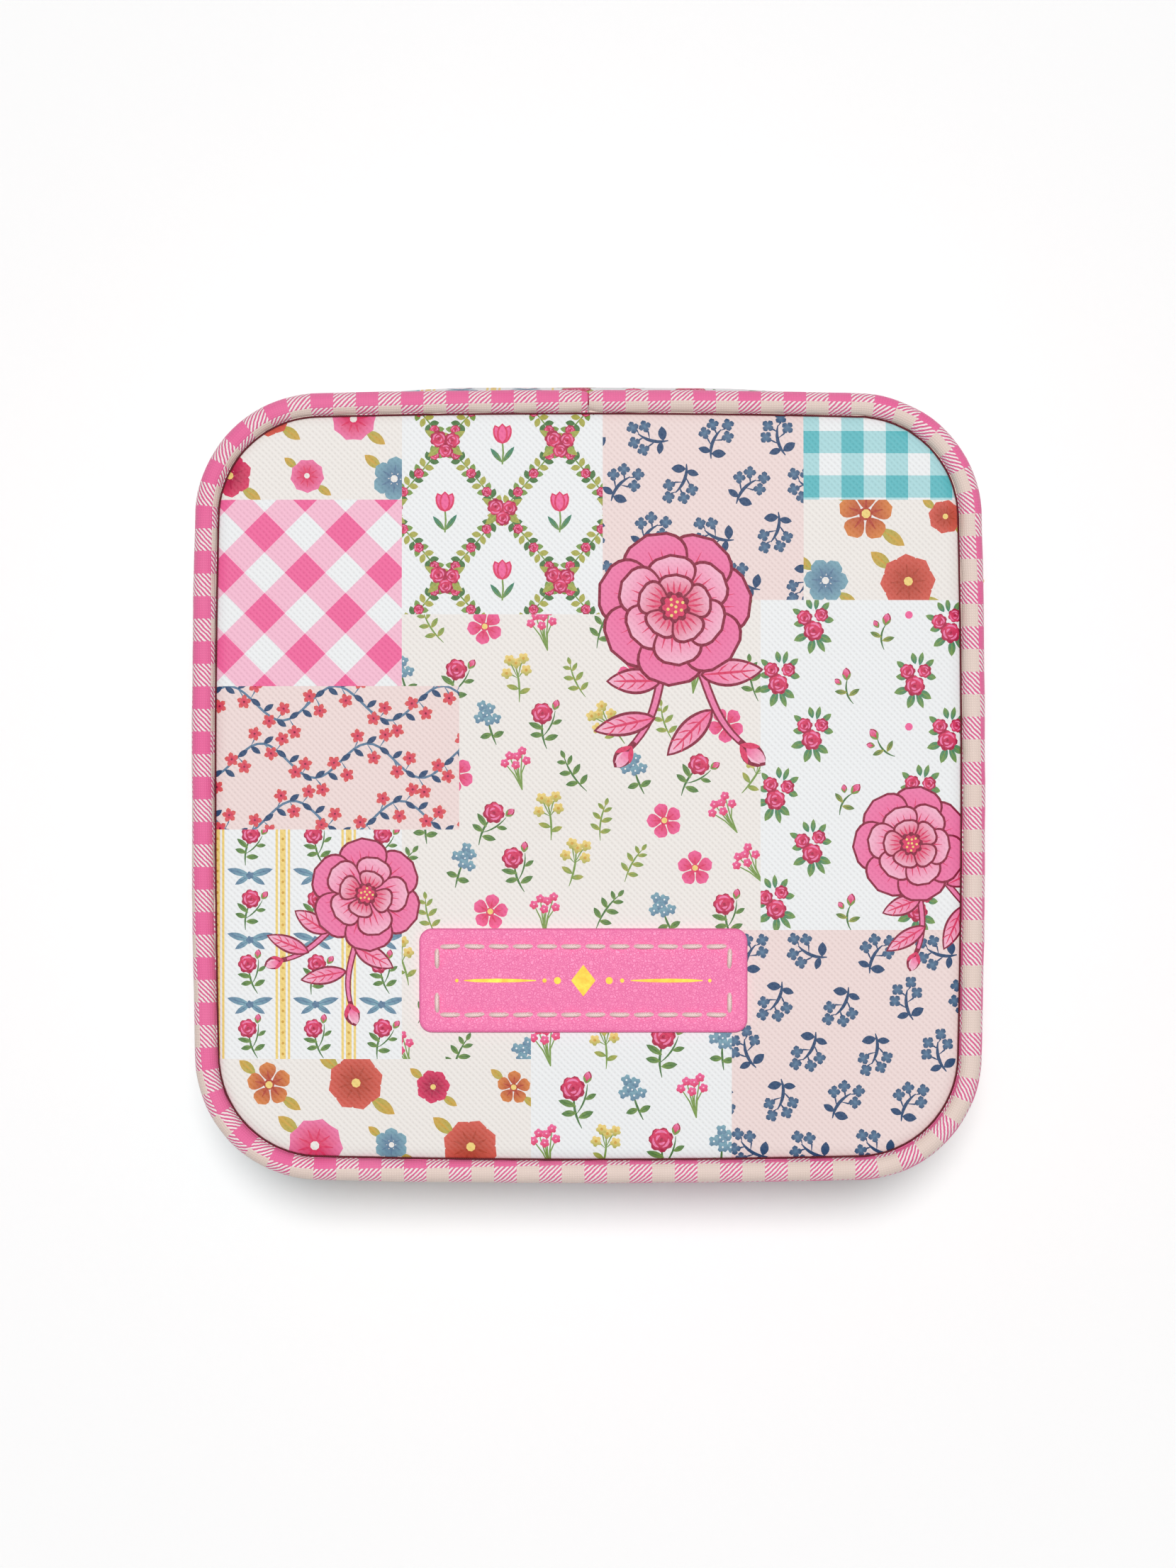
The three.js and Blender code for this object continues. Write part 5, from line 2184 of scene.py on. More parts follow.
@dataclass
class LidPanel(Assembly):
    """The padded, printed face of the lid, sewn down inside the piping."""

    inset: float = 3.45
    seat: float = 52.8
    lift: float = 0.12
    rim: float = 0.78
    rim_width: float = 1.6
    crown: float = 1.3
    reach: float = 51.55
    pucker: float = 0.05
    rings: tuple[float, ...] = (0.1, 0.26, 0.48, 0.78, 1.15, 1.6, 2.3, 3.4, 5.0, 7.5, 10.5)
    inner_rings: tuple[float, ...] = (0.72, 0.58, 0.44, 0.3, 0.16)
    foam_rings: tuple[float, ...] = (
        *(1, 0.97, 0.92, 0.86, 0.79, 0.71),
        *(0.62, 0.53, 0.44, 0.35, 0.26, 0.17, 0.08),
    )
    patches: tuple[Patch, ...] = (
        Patch(Design.DITSY, -53, -53, 53, 53),
        Patch(Design.DAISIES, -53, 40, -26, 53),
        Patch(Design.PLAID, -53, 14, -26, 40),
        Patch(Design.TRELLIS, -26, 24, 2, 53),
        Patch(Design.SPRIGS, 2, 26, 30, 53),
        Patch(Design.CHECK, 30, 40, 53, 53),
        Patch(Design.DAISIES, 30, 26, 53, 40),
        Patch(Design.ROSEBUDS, 24, -20, 53, 26),
        Patch(Design.VINES, -53, -6, -18, 14),
        Patch(Design.STRIPES, -53, -38, -26, -6),
        Patch(Design.DAISIES, -53, -53, -8, -38),
        Patch(Design.POSIES, -8, -53, 20, -30),
        Patch(Design.SPRIGS, 20, -53, 53, -20),
    )
    blooms: tuple[tuple, ...] = (
        (7, (12, 25), 0.15, 1.1),
        (6, (-31, -15), -0.45, 0.8),
        (7, (45, -8), 0.5, 0.82),
    )
    dome: BVHTree | None = None

    def swell(self, x: float, y: float) -> float:
        """Give the padding's share of its full height at a point.

        Args:
            x, y: The point.

        Returns:
            The share.
        """
        if self.dome is not None:
            hit = self.dome.ray_cast(Vector((x, y, 100.0)), -UP)[0]
            return max(0.0, hit.z) if hit else 0.0
        share = ((x / self.reach) ** 8 + (y / self.reach) ** 8) ** 0.125
        return 1 - min(1.0, share) ** 3

    def height(self, x: float, y: float) -> float:
        """Give the height of the panel's top at a point.

        Args:
            x, y: The point.

        Returns:
            The height.
        """
        depth = max(0.0, CASE.depth(x, y) - self.inset)
        part = min(1.0, depth / self.rim_width)
        rise = self.rim * math.sqrt(1 - (1 - part) ** 2)
        drawn = noise.noise(Vector((x, y, 0)) * 0.16) * self.pucker * math.exp(-depth / 4.0) * 2
        uneven = noise.noise(Vector((x, y, 9)) * 0.045) * 0.06 * part
        return self.seat + self.lift + rise + self.crown * self.swell(x, y) + (drawn + uneven) * part

    def simulate(self) -> None:
        """Let the foam push the sewn-down face up, and keep its shape as the swell."""
        edge = [station.at(self.inset, 0) for station in CASE.walk(4.0, 6)[:-1]]
        count = len(edge)
        shell = Shell([point * share for share in self.foam_rings for point in edge])
        inmost = len(shell.points) - count
        for low in range(0, inmost, count):
            high = low + count
            for step in range(count):
                after = (step + 1) % count
                shell.face((low + step, high + step, high + after, low + after))
        shell.face(reversed(range(inmost, len(shell.points))))
        mesh = shell.raw("lid_face_to_stuff")
        if mesh.polygons[0].normal.z < 0:
            mesh.flip_normals()
        sewn = self.inset + 0.3
        points = Padding(3.0, 12.0).stuff(mesh, lambda point: CASE.depth(point.x, point.y) < sewn)
        top = max(point.z for point in points)
        if top < 0.2:
            log.warning("the lid's padding did not rise: %.3f", top)
            return
        flat = [Vector((*point.xy, point.z / top)) for point in points]
        self.dome = BVHTree.FromPolygons(flat, shell.faces)
        log.info("the lid's padding rose %.2f", top)

    def build(self) -> None:
        """Make the printed face."""
        self.simulate()
        insets = [self.inset + ring for ring in (0.0, *self.rings)]
        edge, *lines = rings(CASE, insets, 2.2, 16)
        lines += [[tuple(Vector(point) * share) for point in edge[::3]] for share in self.inner_rings]
        skin = Skin(
            edge[:-1],
            lines,
            lambda x, y: Vector((x, y, self.height(x, y))),
            lambda x, y: Vector((x, y, self.seat)),
        )
        over = [mark for petals, *how in self.blooms for mark in placed(bloom(petals), *how)]
        mesh = skin.mesh("lid_panel_print", Print(self.patches, over, seed=21))
        item = piece(mesh.name, mesh, self.finishes.printed, "lid", "lid_panel", "lid_foam", sharp=60.0)


@dataclass
class Label(Assembly):
    """The stitched leatherette label on the lid, with a plain foil ornament."""

    panel: LidPanel
    outline: Outline = Outline(22.85, 7.25, 1.8, middle=(-0.7, -27.0))
    thickness: float = 0.95
    bevel: float = 0.4
    rings: tuple[float, ...] = (0.0, 0.05, 0.14, 0.27, 0.42, 0.9, 1.7)
    straight: tuple[float, ...] = (2.1, 2.5, 2.9, 4.2)
    stitch_inset: float = 2.5
    stitch_pitch: float = 3.35
    stitch_length: float = 2.45
    thread: float = 0.34
    foil_lift: float = 0.05

    def top(self, x: float, y: float) -> float:
        """Give the height of the label's face at a point.

        Args:
            x, y: The point.

        Returns:
            The height.
        """
        depth = max(0.0, self.outline.depth(x, y))
        part = min(1.0, depth / self.bevel)
        shoulder = self.bevel * (math.sqrt(max(0.0, 1 - (1 - part) ** 2)) - 1)
        sunk = 0.1 * math.exp(-(((depth - self.stitch_inset) / 0.5) ** 2))
        wave = noise.noise(Vector((x, y, 4)) * 0.12) * 0.05
        return self.panel.height(x, y) + self.thickness + shoulder - sunk + wave

    def corners(self, inset: float) -> list[Flat]:
        """Give the corners of the rectangle an inset in from the outline, the first one repeated.

        Args:
            inset: How far in.

        Returns:
            The corners.
        """
        x, y = self.outline.half_x - inset, self.outline.half_y - inset
        corners = moved(box_corners((-x, -y), (x, y)), self.outline.middle)
        return [*corners, corners[0]]

    def build(self) -> None:
        """Make the label, its stitches and its ornament."""
        edge, *lines = rings(self.outline, self.rings, 1.8, 8)
        lines = [divided(line, 1.6) for line in (*lines, *map(self.corners, self.straight))]
        skin = Skin(
            edge[:-1],
            lines,
            lambda x, y: Vector((x, y, self.top(x, y))),
            lambda x, y: Vector((x, y, self.panel.height(x, y) - 0.1)),
        )
        face = skin.mesh("lid_label_face", Print())
        piece(face.name, face, self.finishes.pink, "lid", "lid_label", sharp=60.0)
        self._sew()
        self._stamp()

    def _sew(self) -> None:
        """Sew the label down with a row along each side."""
        paths = []
        margin = 0.15
        for here, there in pairwise(self.corners(self.stitch_inset)):
            length = math.dist(here, there)
            count = round(length / self.stitch_pitch)
            spaced = (length - 2 * margin) / count
            runs = [margin + spaced * (step + 1) / 2 for step in range(2 * count - 1)]
            path = [between(here, there, run / length) for run in runs]
            paths.append([Vector((x, y, self.top(x, y) + self.thread * 0.7)) for x, y in path])
        unit = stitch(self.stitch_length, self.thread, UP)
        mesh = Repeater(self.stitch_pitch, 0.05).along("label_stitches", paths, unit, self.finishes.thread)
        piece(mesh.name, mesh, self.finishes.thread, "lid")

    def _stamp(self) -> None:
        """Stamp the foil: a lozenge between two tapering rules with dots."""
        shapes = [((-1.7, 0), (0, -2.2), (1.7, 0), (0, 2.2))]
        for side in (-1, 1):
            for way, size, count in ((3.6, 1.0, 14), (5.4, 0.6, 12), (17.6, 0.5, 10)):
                shapes.append(oval(side * way, 0, size, size, 0, count))
            shapes.append(stroke([(side * way, 0) for way in (6.6, 9.0, 12.0, 15.0, 16.6)], 0.55, 0.25))
        shell = Shell()
        for shape in shapes:
            places = moved(shape, self.outline.middle)
            lifts = (-0.05, self.foil_lift)
            shell.loft([[Vector((*place, self.top(*place) + lift)) for place in places] for lift in lifts])
        piece("label_foil", shell.mesh("label_foil"), self.finishes.foil, "lid")


@dataclass
class Piping(Assembly):
    """A round gingham piping with its tail in the seam, butted together at the middle of the back."""

    name: str
    body: str
    centre: float
    up: int
    radius: float = 1.6
    cell: float = 3.15
    tail: float = 0.4
    tail_inset: float = 5.6
    gap: float = 0.12
    drift: tuple[Flat, ...] = ((0, 2.67), (0.19, 1.78), (0.31, 1.03), (0.5, 0.52), (0.75, -2.41), (1, -3.63))
    steps: int = 20

    def angle(self, step: int, radius: float) -> float:
        """Give the angle round the bead of a step from the tail's one side to its other."""
        start = math.asin(self.tail / radius)
        return -math.pi + start + (2 * math.pi - 2 * start) * step / self.steps

    def section(self, station: Station, total: float) -> list[Flat]:
        """Give the bead and its tail at a station, drawn in a little towards the join.

        Args:
            station: The station.
            total: The whole run.

        Returns:
            The insets and heights.
        """
        to_end = min(station.run, total - station.run)
        pinch = 1 - 0.16 * math.exp(-((to_end / 0.9) ** 2))
        uneven = 1 + 0.025 * noise.noise(Vector((station.run * 0.35, self.centre, 0)))
        radius = self.radius * pinch * uneven
        sway = 0.07 * noise.noise(Vector((station.run * 0.12, self.centre, 5)))
        points = []
        for step in range(self.steps + 1):
            across, rise = around(radius, self.angle(step, radius))
            points.append((self.radius + sway - across, self.centre + self.up * rise))
        return [(self.tail_inset, points[0][1]), *points, (self.tail_inset, points[-1][1])]

    def mark(self, station: Station, step: int, total: float) -> Flat:
        """Give the place on the cloth of a section's point.

        Args:
            station, step: The section and its point.
            total: The whole run.

        Returns:
            The place, in cells.
        """
        drift = float(np.interp(station.run / total, *zip(*self.drift)))
        around_bead = self.radius * self.angle(step - 1, self.radius)
        return station.run / self.cell + 0.35, (around_bead - drift) / self.cell

    def build(self) -> None:
        """Make the piping."""
        track = Track(CASE.walk(1.6, 22, self.radius))
        total = track.length
        ends = [self.gap + extra for extra in (0.0, 0.25, 0.6, 1.0)]
        stations = track.between(ends[0], total - ends[0], *ends[1:], *(total - end for end in ends[1:]))
        shell = swept(
            stations,
            lambda station: self.section(station, total),
            lambda station, step: self.mark(station, step, total),
        )
        name = self.name + "_cloth"
        piece(name, shell.mesh(name), self.finishes.gingham, self.body, self.name, sharp=60.0)


@dataclass
class SeamCordAndShade(Assembly):
    """The dark line in the groove between a panel and its piping: a thread, made dark to paint the groove's
    shadow as well.
    """

    name: str
    body: str
    height: float
    inset: float = 3.36
    radius: float = 0.17

    def build(self) -> None:
        """Make the cord."""
        path = []
        for station in CASE.walk(1.5, 20)[:-1]:
            wander = noise.noise(Vector((station.run * 0.5, self.height, 2)))
            path.append(station.at(self.inset + 0.06 * wander, self.height + 0.05 * wander))
        mesh = tube(path, self.radius, 7, True).mesh(self.name)
        piece(self.name, mesh, self.finishes.seam, self.body, sharp=80.0)


@dataclass
class Gusset(Assembly):
    """A printed, padded side wall that is turned in over the zip's tape and stitched."""

    name: str
    body: str
    up: int
    seam: float
    seed: int
    mouth: float = 4.6
    line: float = 1.3
    opening: float = 36.25
    inside: float = 3.2
    mouth_inside: float = 2.3
    mouth_reach: float = 9.3
    hem: float = 0.22
    billow: float = 0.1
    stitch_drop: float = 1.3
    stitch_inset: float = 1.22
    stitch_pitch: float = 2.9
    stitch_length: float = 2.0
    thread: float = 0.2

    def profile(self) -> list[Flat]:
        """Give the wall's outside, from under the piping to the edge turned in at the zip.

        Returns:
            Its points, each an inset and a height.
        """
        height = abs(PARTING + self.up * self.mouth - self.seam)
        shape = (
            (2.3, -0.3),
            (1.75, 0.0),
            (1.4, 0.35),
            (1.15, 1.1),
            (0.92, 0.25 * height),
            (0.84, 0.5 * height),
            (0.95, 0.75 * height),
            (1.2, height - 2.4),
            (1.32, height - self.stitch_drop),
            (1.26, height - 0.75),
            (1.32, height - 0.32),
            (1.5, height - 0.08),
            (1.8, height),
            (2.2, height - 0.02),
        )
        return [(inset, self.seam - self.up * drop) for inset, drop in shape]

    def build(self) -> None:
        """Make the wall and its stitching."""
        track = Track(CASE.walk(7.0, 12, self.line))
        start, end = self.opening, track.length - self.opening
        profile = self.profile()
        ways = ways_along(profile)
        insets, heights = zip(*profile)
        depth = ways[-1]
        inner = track.between(start, end)[1:-1]
        lines = [[(station.run, -0.1), (station.run, depth + 0.1)] for station in inner]
        lines += [[(start - 0.1, way), (end + 0.1, way)] for way in ways[1:-1]]

        def front(run: float, way: float) -> Vector:
            """Place a point of the outside.

            Args:
                run: The way along the wall.
                way: The way up the wall's section.

            Returns:
                The place.
            """
            uneven = noise.noise(Vector((run * 0.07, way * 0.12, self.seed)))
            billow = self.billow * uneven * math.sin(math.pi * way / depth)
            return track.at(run).at(np.interp(way, ways, insets) + billow, np.interp(way, ways, heights))

        def back(run: float, way: float) -> Vector:
            """Place a point of the inside.

            Args:
                run: The way along the wall.
                way: The way up the wall's section.

            Returns:
                The place.
            """
            height = np.interp(way, ways, heights)
            away = abs(height - PARTING)
            lift = self.hem if away < self.mouth + 0.2 else 0.0
            inset = self.mouth_inside if away < self.mouth_reach else self.inside
            return track.at(run).at(inset, height + self.up * lift)

        skin = Skin(box_corners((start, 0.0), (end, depth)), lines, front, back, bent=True)
        patches = quilt((start - 1, -1), (end + 1, depth + 1), self.seed)
        mesh = skin.mesh(self.name + "_print", Print(patches, seed=self.seed))
        item = piece(mesh.name, mesh, self.finishes.printed, self.body, self.name, sharp=60.0)
        height = PARTING + self.up * (self.mouth + self.stitch_drop)
        path = [station.at(self.stitch_inset, height) for station in track.between(start + 2, end - 2)]
        unit = stitch(self.stitch_length, self.thread, Vector((0, 1, 0)))
        repeater = Repeater(self.stitch_pitch, 0.03)
        seam = repeater.along(self.name + "_stitches", [path], unit, self.finishes.thread)
        piece(seam.name, seam, self.finishes.thread, self.body)


@dataclass
class Spine(Assembly):
    """The flexible printed back that joins the halves and bulges past the piping."""

    half: float = 35.95
    low: float = 3.75
    high: float = 50.65
    inset: float = 1.3
    bulge: float = 2.45
    thin: float = 1.0
    slack: float = 9.2
    slack_rows: int = 6
    slack_step: float = 1.5
    inside: float = 3.2
    fade_half: float = 36.0
    rows: tuple[float, ...] = (0.008, 0.03, 0.07, 0.13, 0.2, 0.28, 0.36, 0.43)
    columns: tuple[float, ...] = (10, 20, 25, 29, 32, 34, 35.2)

    def front(self, x: float, z: float) -> Vector:
        """Place a point of the outside.

        Args:
            x, z: The way across, and the height.

        Returns:
            The place.
        """
        part = (z - self.low) / (self.high - self.low)
        swell = max(0.0, 1 - abs(2 * part - 1) ** 4) ** 0.25
        fade = 1 - 0.85 * min(1.0, abs(x) / self.fade_half) ** 6
        tuck = 0.7 * math.exp(-min(z - self.low, self.high - z) / 0.5)
        uneven = 0.12 * noise.noise(Vector((x * 0.09, z * 0.12, 3))) * swell
        inset = self.inset - self.bulge * swell * fade + tuck - uneven
        return back_wall(x, z, inset)

    def back(self, x: float, z: float) -> Vector:
        """Place a point of the inside."""
        if abs(z - PARTING) < self.slack:
            return self.front(x, z) - Vector((0, self.thin, 0))
        return Vector((x, CASE.half_y - self.inside, z))

    def build(self) -> None:
        """Make the spine, which joins the base and the lid."""
        shares = [*self.rows, 0.5, *(1 - row for row in self.rows)]
        heights = [self.low + (self.high - self.low) * share for share in shares]
        heights += [PARTING - self.slack, PARTING + self.slack]
        steps = range(-self.slack_rows, self.slack_rows + 1)
        heights += [PARTING + step * self.slack_step for step in steps]
        lines = [[(-self.half - 0.1, height), (self.half + 0.1, height)] for height in sorted(heights)]
        for x in (*(-column for column in reversed(self.columns)), 0, *self.columns):
            lines.append([(x, self.low - 0.1), (x, self.high + 0.1)])
        edge = box_corners((-self.half, self.low), (self.half, self.high))
        design = Print(quilt((-37, self.low - 1), (37, self.high + 1), 8), seed=8)
        mesh = Skin(edge, lines, self.front, self.back, bent=True).mesh("spine_print", design)
        item = shown("spine_print", mesh, self.finishes.printed.material, 60.0)
        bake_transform(item)
        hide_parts("spine")


def back_wall(x: float, z: float, inset: float) -> Vector:
    """Give a point of the back wall, an inset in from the outline's bowed side."""
    return Vector((x, CASE.half_y + CASE.bow * (1 - (x / CASE.reach[0]) ** 2) - inset, z))


@dataclass
class BasePanel(Assembly):
    """The flat printed underside."""

    inset: float = 3.45
    top: float = 1.55
    rim: float = 0.7
    rings: tuple[float, ...] = (0.0, 0.06, 0.2, 0.42, 0.75)

    def front(self, x: float, y: float) -> Vector:
        """Place a point of the outside."""
        part = min(1.0, max(0.0, CASE.depth(x, y) - self.inset) / self.rim)
        return Vector((x, y, self.rim * (1 - math.sqrt(max(0.0, 1 - (1 - part) ** 2)))))

    def build(self) -> None:
        """Make the panel."""
        edge, *lines = rings(CASE, [self.inset + ring for ring in self.rings], 4.0, 12)
        skin = Skin(edge[:-1], lines, self.front, lambda x, y: Vector((x, y, self.top)))
        mesh = skin.mesh("base_panel_print", Print(quilt((-53, -53), (53, 53), 14), seed=14))
        piece(mesh.name, mesh, self.finishes.printed, "base", "base_panel", sharp=60.0)


@dataclass
class Zip(Assembly):
    """The two zip tapes with their teeth and stops."""

    middle: float = 2.75
    tape: tuple[float, float] = (2.45, 3.05)
    tape_edge: float = 2.85
    tape_far: float = 9.0
    tape_meets: float = 0.2
    tape_hem: float = 0.14
    opening: float = 36.25
    strip: tuple[float, float] = (1.5, 2.7)
    cord: float = 0.62
    reach: float = 1.0
    depth: float = 2.2
    width: float = 1.15
    pitch: float = 3.0
    start_y: float = 24.0
    end_y: float = 34.6
    stop_low: float = 35.2
    stop_high: float = 36.7

    def build(self) -> None:
        """Make both halves of the zip."""
        for body, up, offset in (("base", -1, 0.6), ("lid", 1, 2.1)):
            self._tape(body, up)
            self._chain(body, up, offset)
        half = self.depth / 2
        for name, body, side, low, high in (
            ("zip_bottom_stop", "base", 1, -2.7, 2.7),
            ("base_top_stop", "base", -1, -2.7, -0.25),
            ("lid_top_stop", "lid", -1, 0.25, 2.7),
        ):
            x = side * (CASE.half_x - self.middle)
            corners = ((x - half, self.stop_low, PARTING + low), (x + half, self.stop_high, PARTING + high))
            piece(name + "_crimped", slab(*corners, 0.32, name), self.finishes.gold, body, name)

    def _tape(self, body: str, up: int) -> None:
        """Make a tape, whose near edge comes up to the parting past the stops.

        Args:
            body, up: The half that it is on, and which way that lies.
        """
        track = Track(Outline(CASE.half_x, CASE.half_y, CASE.radius).walk(4.0, 12, self.middle))
        bend = (CASE.radius - self.middle) * math.pi / 2
        meets = track.length / 2 - sum(CASE.reach) - bend - self.stop_high - 0.15
        inner = (meets, meets + 0.1, track.length - meets - 0.1, track.length - meets)

        def section(station: Station) -> list[Flat]:
            """Give the tape's section at a station.

            Args:
                station: The place along the route.

            Returns:
                Its points, each an inset and a height.
            """
            past = station.run <= meets or station.run >= track.length - meets
            near = self.tape_meets if past else self.tape_edge
            rows = []
            for share in (0.0, 0.03, 0.5, 0.97, 1.0):
                hem = 0.0 if 0.0 < share < 1.0 else self.tape_hem
                height = PARTING + up * (near + (self.tape_far - near) * share)
                rows.append(((self.tape[0] + hem, height), (self.tape[1] - hem, height)))
            return [front for front, _ in rows] + [back for _, back in reversed(rows)]

        shell = swept(track.between(self.opening, track.length - self.opening, *inner), section)
        name = body + "_tape_cloth"
        piece(name, shell.mesh(name), self.finishes.tape, body, body + "_tape")

    def _route(self, start: float, height: float) -> list[Vector]:
        """Give the teeth's line, from the right round to the left.

        Args:
            start: How far past its start on the right it begins.
            height: Its height.

        Returns:
            The points.
        """
        reach_x, reach_y = CASE.reach
        side, bend = CASE.half_x - self.middle, CASE.radius - self.middle
        points = [(side, self.start_y - start), (side, -reach_y)]
        for middle, angle in ((reach_x, 0.0), (-reach_x, -math.pi / 2)):
            points += arc(middle, -reach_y, bend, angle, -math.pi / 2, 25)[1:]
        return [Vector((x, y, height)) for x, y in (*points, (-side, self.end_y))]

    def _tooth(self, up: int) -> Mesh:
        """Make a tooth: legs that grip the strip, a waist, and a rounded head past the parting.

        Args:
            up: 1 for the lid's row, -1 for the base's.

        Returns:
            The tooth.
        """
        half = self.width / 2
        shape = [(0.42, -self.strip[1] - 0.15), (0.5, -self.strip[0]), (0.34, -0.55)]
        shape += [(half, 0.15), (half, 0.6), (0.3, self.reach)]
        outline = [(x, -up * z) for x, z in (*shape, *((-x, z) for x, z in reversed(shape)))]
        return cut_out("tooth", [outline], self.depth, 0.16, lambda x, z, y: (x, y, z))

    def _chain(self, body: str, up: int, offset: float) -> None:
        """Make a row of teeth and the cord that they grip.

        Args:
            body, up: The half that it is on, and which way that lies.
            offset: Where the row starts.
        """
        route = self._route(offset + 0.55, PARTING)
        length = ways_along(route)[-1]
        extra = length - math.floor(length / self.pitch) * self.pitch - 0.001
        route[-1] -= Vector((0, extra, 0))
        teeth = Repeater(self.pitch).along(body + "_teeth", [route], self._tooth(up), self.finishes.gold)
        piece(teeth.name, teeth, self.finishes.gold, body, body + "_chain")
        line = divided(self._route(0.0, PARTING + up * sum(self.strip) / 2), 4.0)
        name = body + "_zip_cord"
        piece(name, tube([Vector(point) for point in line], self.cord).mesh(name), self.finishes.tape, body)


@dataclass
class Slider(Assembly):
    """The zip's slider with its bridge, link and leatherette pull."""

    x: float = 52.25
    y: float = 29.6
    half: float = 5.0
    wide: float = 4.3
    narrow: float = 3.4
    near: float = 1.3
    far: float = 1.9
    bridge_x: float = 55.7
    bridge_span: float = 6.4
    bridge_wire: float = 0.45
    link_wire: float = 0.35
    link_bend: float = 1.0
    link_length: float = 3.6
    tab_width: float = 7.5
    tab_head: float = 3.8
    tab_thick: float = 0.9
    tab_low: float = 7.25
    tab_high: float = 28.25
    hole: float = 0.75
    hole_z: float = 26.4

    def build(self) -> None:
        """Make the slider and its pull."""
        self._casting()
        top = arc(0, 0, self.link_bend, 0, math.pi, 11)
        low = arc(0, -self.link_length, self.link_bend, math.pi, math.pi, 11)
        path = [Vector((self.bridge_x + x, self.y, PARTING + z)) for x, z in top + low]
        link = tube(path, self.link_wire, 12, True).mesh("pull_link_wire")
        piece("pull_link_wire", link, self.finishes.gold, "pull", "pull_link", sharp=60.0)
        self._tab()

    def _casting(self) -> None:
        """Make the two plates, the post, the flanges and the bridge."""
        half, wide, narrow = self.half, self.wide, self.narrow
        curve = bezier([(-half / 2, wide), (-half, wide), (-half, 0)])
        nose = [(0.2, narrow), (-1.2, wide - 0.35), *curve]
        outline = [(half - 0.4, -narrow), (half, -narrow + 0.4), (half, narrow - 0.4), (half - 0.4, narrow)]
        outline += [*nose, *((y, -z) for y, z in reversed(nose[:-1]))]
        plates = []
        for middle in ((self.near + self.far) / 2, -(self.near + self.far) / 2):
            lay = self._laid(middle + self.x)
            plates.append(cut_out("slider_casting", [outline], self.far - self.near, 0.18, lay))
        post = self.y - half + 1.4
        corners = [(self.x + side * 1.6, post + side * 0.7, PARTING + side * 0.7) for side in (-1, 1)]
        parts = [slab(*corners, 0.25, "post")]
        for up in (-1, 1):
            low, high = sorted((PARTING + up * (narrow - 0.5), PARTING + up * narrow))
            for inner, outer in ((0.5, self.near + 0.3), (-self.near - 0.3, -0.5)):
                corners = ((self.x + inner, self.y, low), (self.x + outer, self.y + half, high))
                parts.append(slab(*corners, 0.15, "flange"))
        foot, reach = self.bridge_span / 2 - self.bridge_wire, self.bridge_x - self.x
        bow = [(self.far - 0.3, -foot), (reach - 0.5, -foot)]
        bow += [(reach - 0.1, -foot + 0.25), (reach, -foot + 0.8)]
        bow += [(reach, 0.0), *((x, -y) for x, y in reversed(bow))]
        path = [Vector((self.x + x, self.y + y, PARTING)) for x, y in bow]
        parts.append(tube(path, self.bridge_wire, 12).mesh("bridge"))
        mesh = merged(*plates, *parts)
        piece("slider_casting", mesh, self.finishes.gold, "slider", "slider_body", sharp=40.0)

    def _laid(self, x: float, z: float = PARTING) -> Callable[[float, float, float], tuple[float, ...]]:
        """Give what lays a plate's points upright at an x, from a height."""
        return lambda across, up, rise: (x + rise, self.y + across, z + up)

    def _tab_outline(self, inset: float = 0.0) -> list[Flat]:
        """Give the tab's outline, drawn in by an inset.

        Args:
            inset: How far in.

        Returns:
            The outline.
        """
        head, wide = self.tab_head / 2 - inset, self.tab_width / 2 - inset
        neck = self.hole_z - 2 * self.hole - inset * 0.6
        high, low = self.tab_high - inset, self.tab_low + inset
        outline = bezier([(-head, self.hole_z), (-head, high), (0, high)])
        outline += bezier([(0, high), (head, high), (head, self.hole_z)])[1:]
        outline += bezier([(head, neck), (wide, neck), (wide, neck - wide)])
        outline += arc(0, low + wide, wide, 0, -math.pi, 17)
        return outline + bezier([(-wide, neck - wide), (-wide, neck), (-head, neck)])

    def _tab(self) -> None:
        """Make the leatherette tab, its eyelet and its stitches."""
        lay = self._laid(self.bridge_x, 0.0)
        hole = ring_of(16, self.hole, (0, self.hole_z))[::-1]
        face = cut_out("pull_tab_leather", [self._tab_outline(), hole], self.tab_thick, 0.25, lay)
        piece("pull_tab_leather", face, self.finishes.pink, "pull", "pull_tab")
        rim = ring_of(20, self.hole + 0.42, (0, self.hole_z))
        line = [(y, z) for y, z in self._tab_outline(0.75) if z < self.hole_z - 3.2]
        eyelets, paths = [], []
        for away in (-self.tab_thick / 2, self.tab_thick / 2):
            path = [Vector(lay(y, z, away)) for y, z in rim]
            eyelets.append(tube(path, 0.2, 8, True).mesh("pull_eyelet"))
            paths.append([Vector(lay(y, z, away + math.copysign(0.02, away))) for y, z in line])
        piece("pull_eyelet", merged(*eyelets), self.finishes.gold, "pull")
        seam = Repeater(2.1).along("pull_stitches", paths, stitch(1.5, 0.16, UP), self.finishes.thread)
        piece("pull_stitches", seam, self.finishes.thread, "pull")


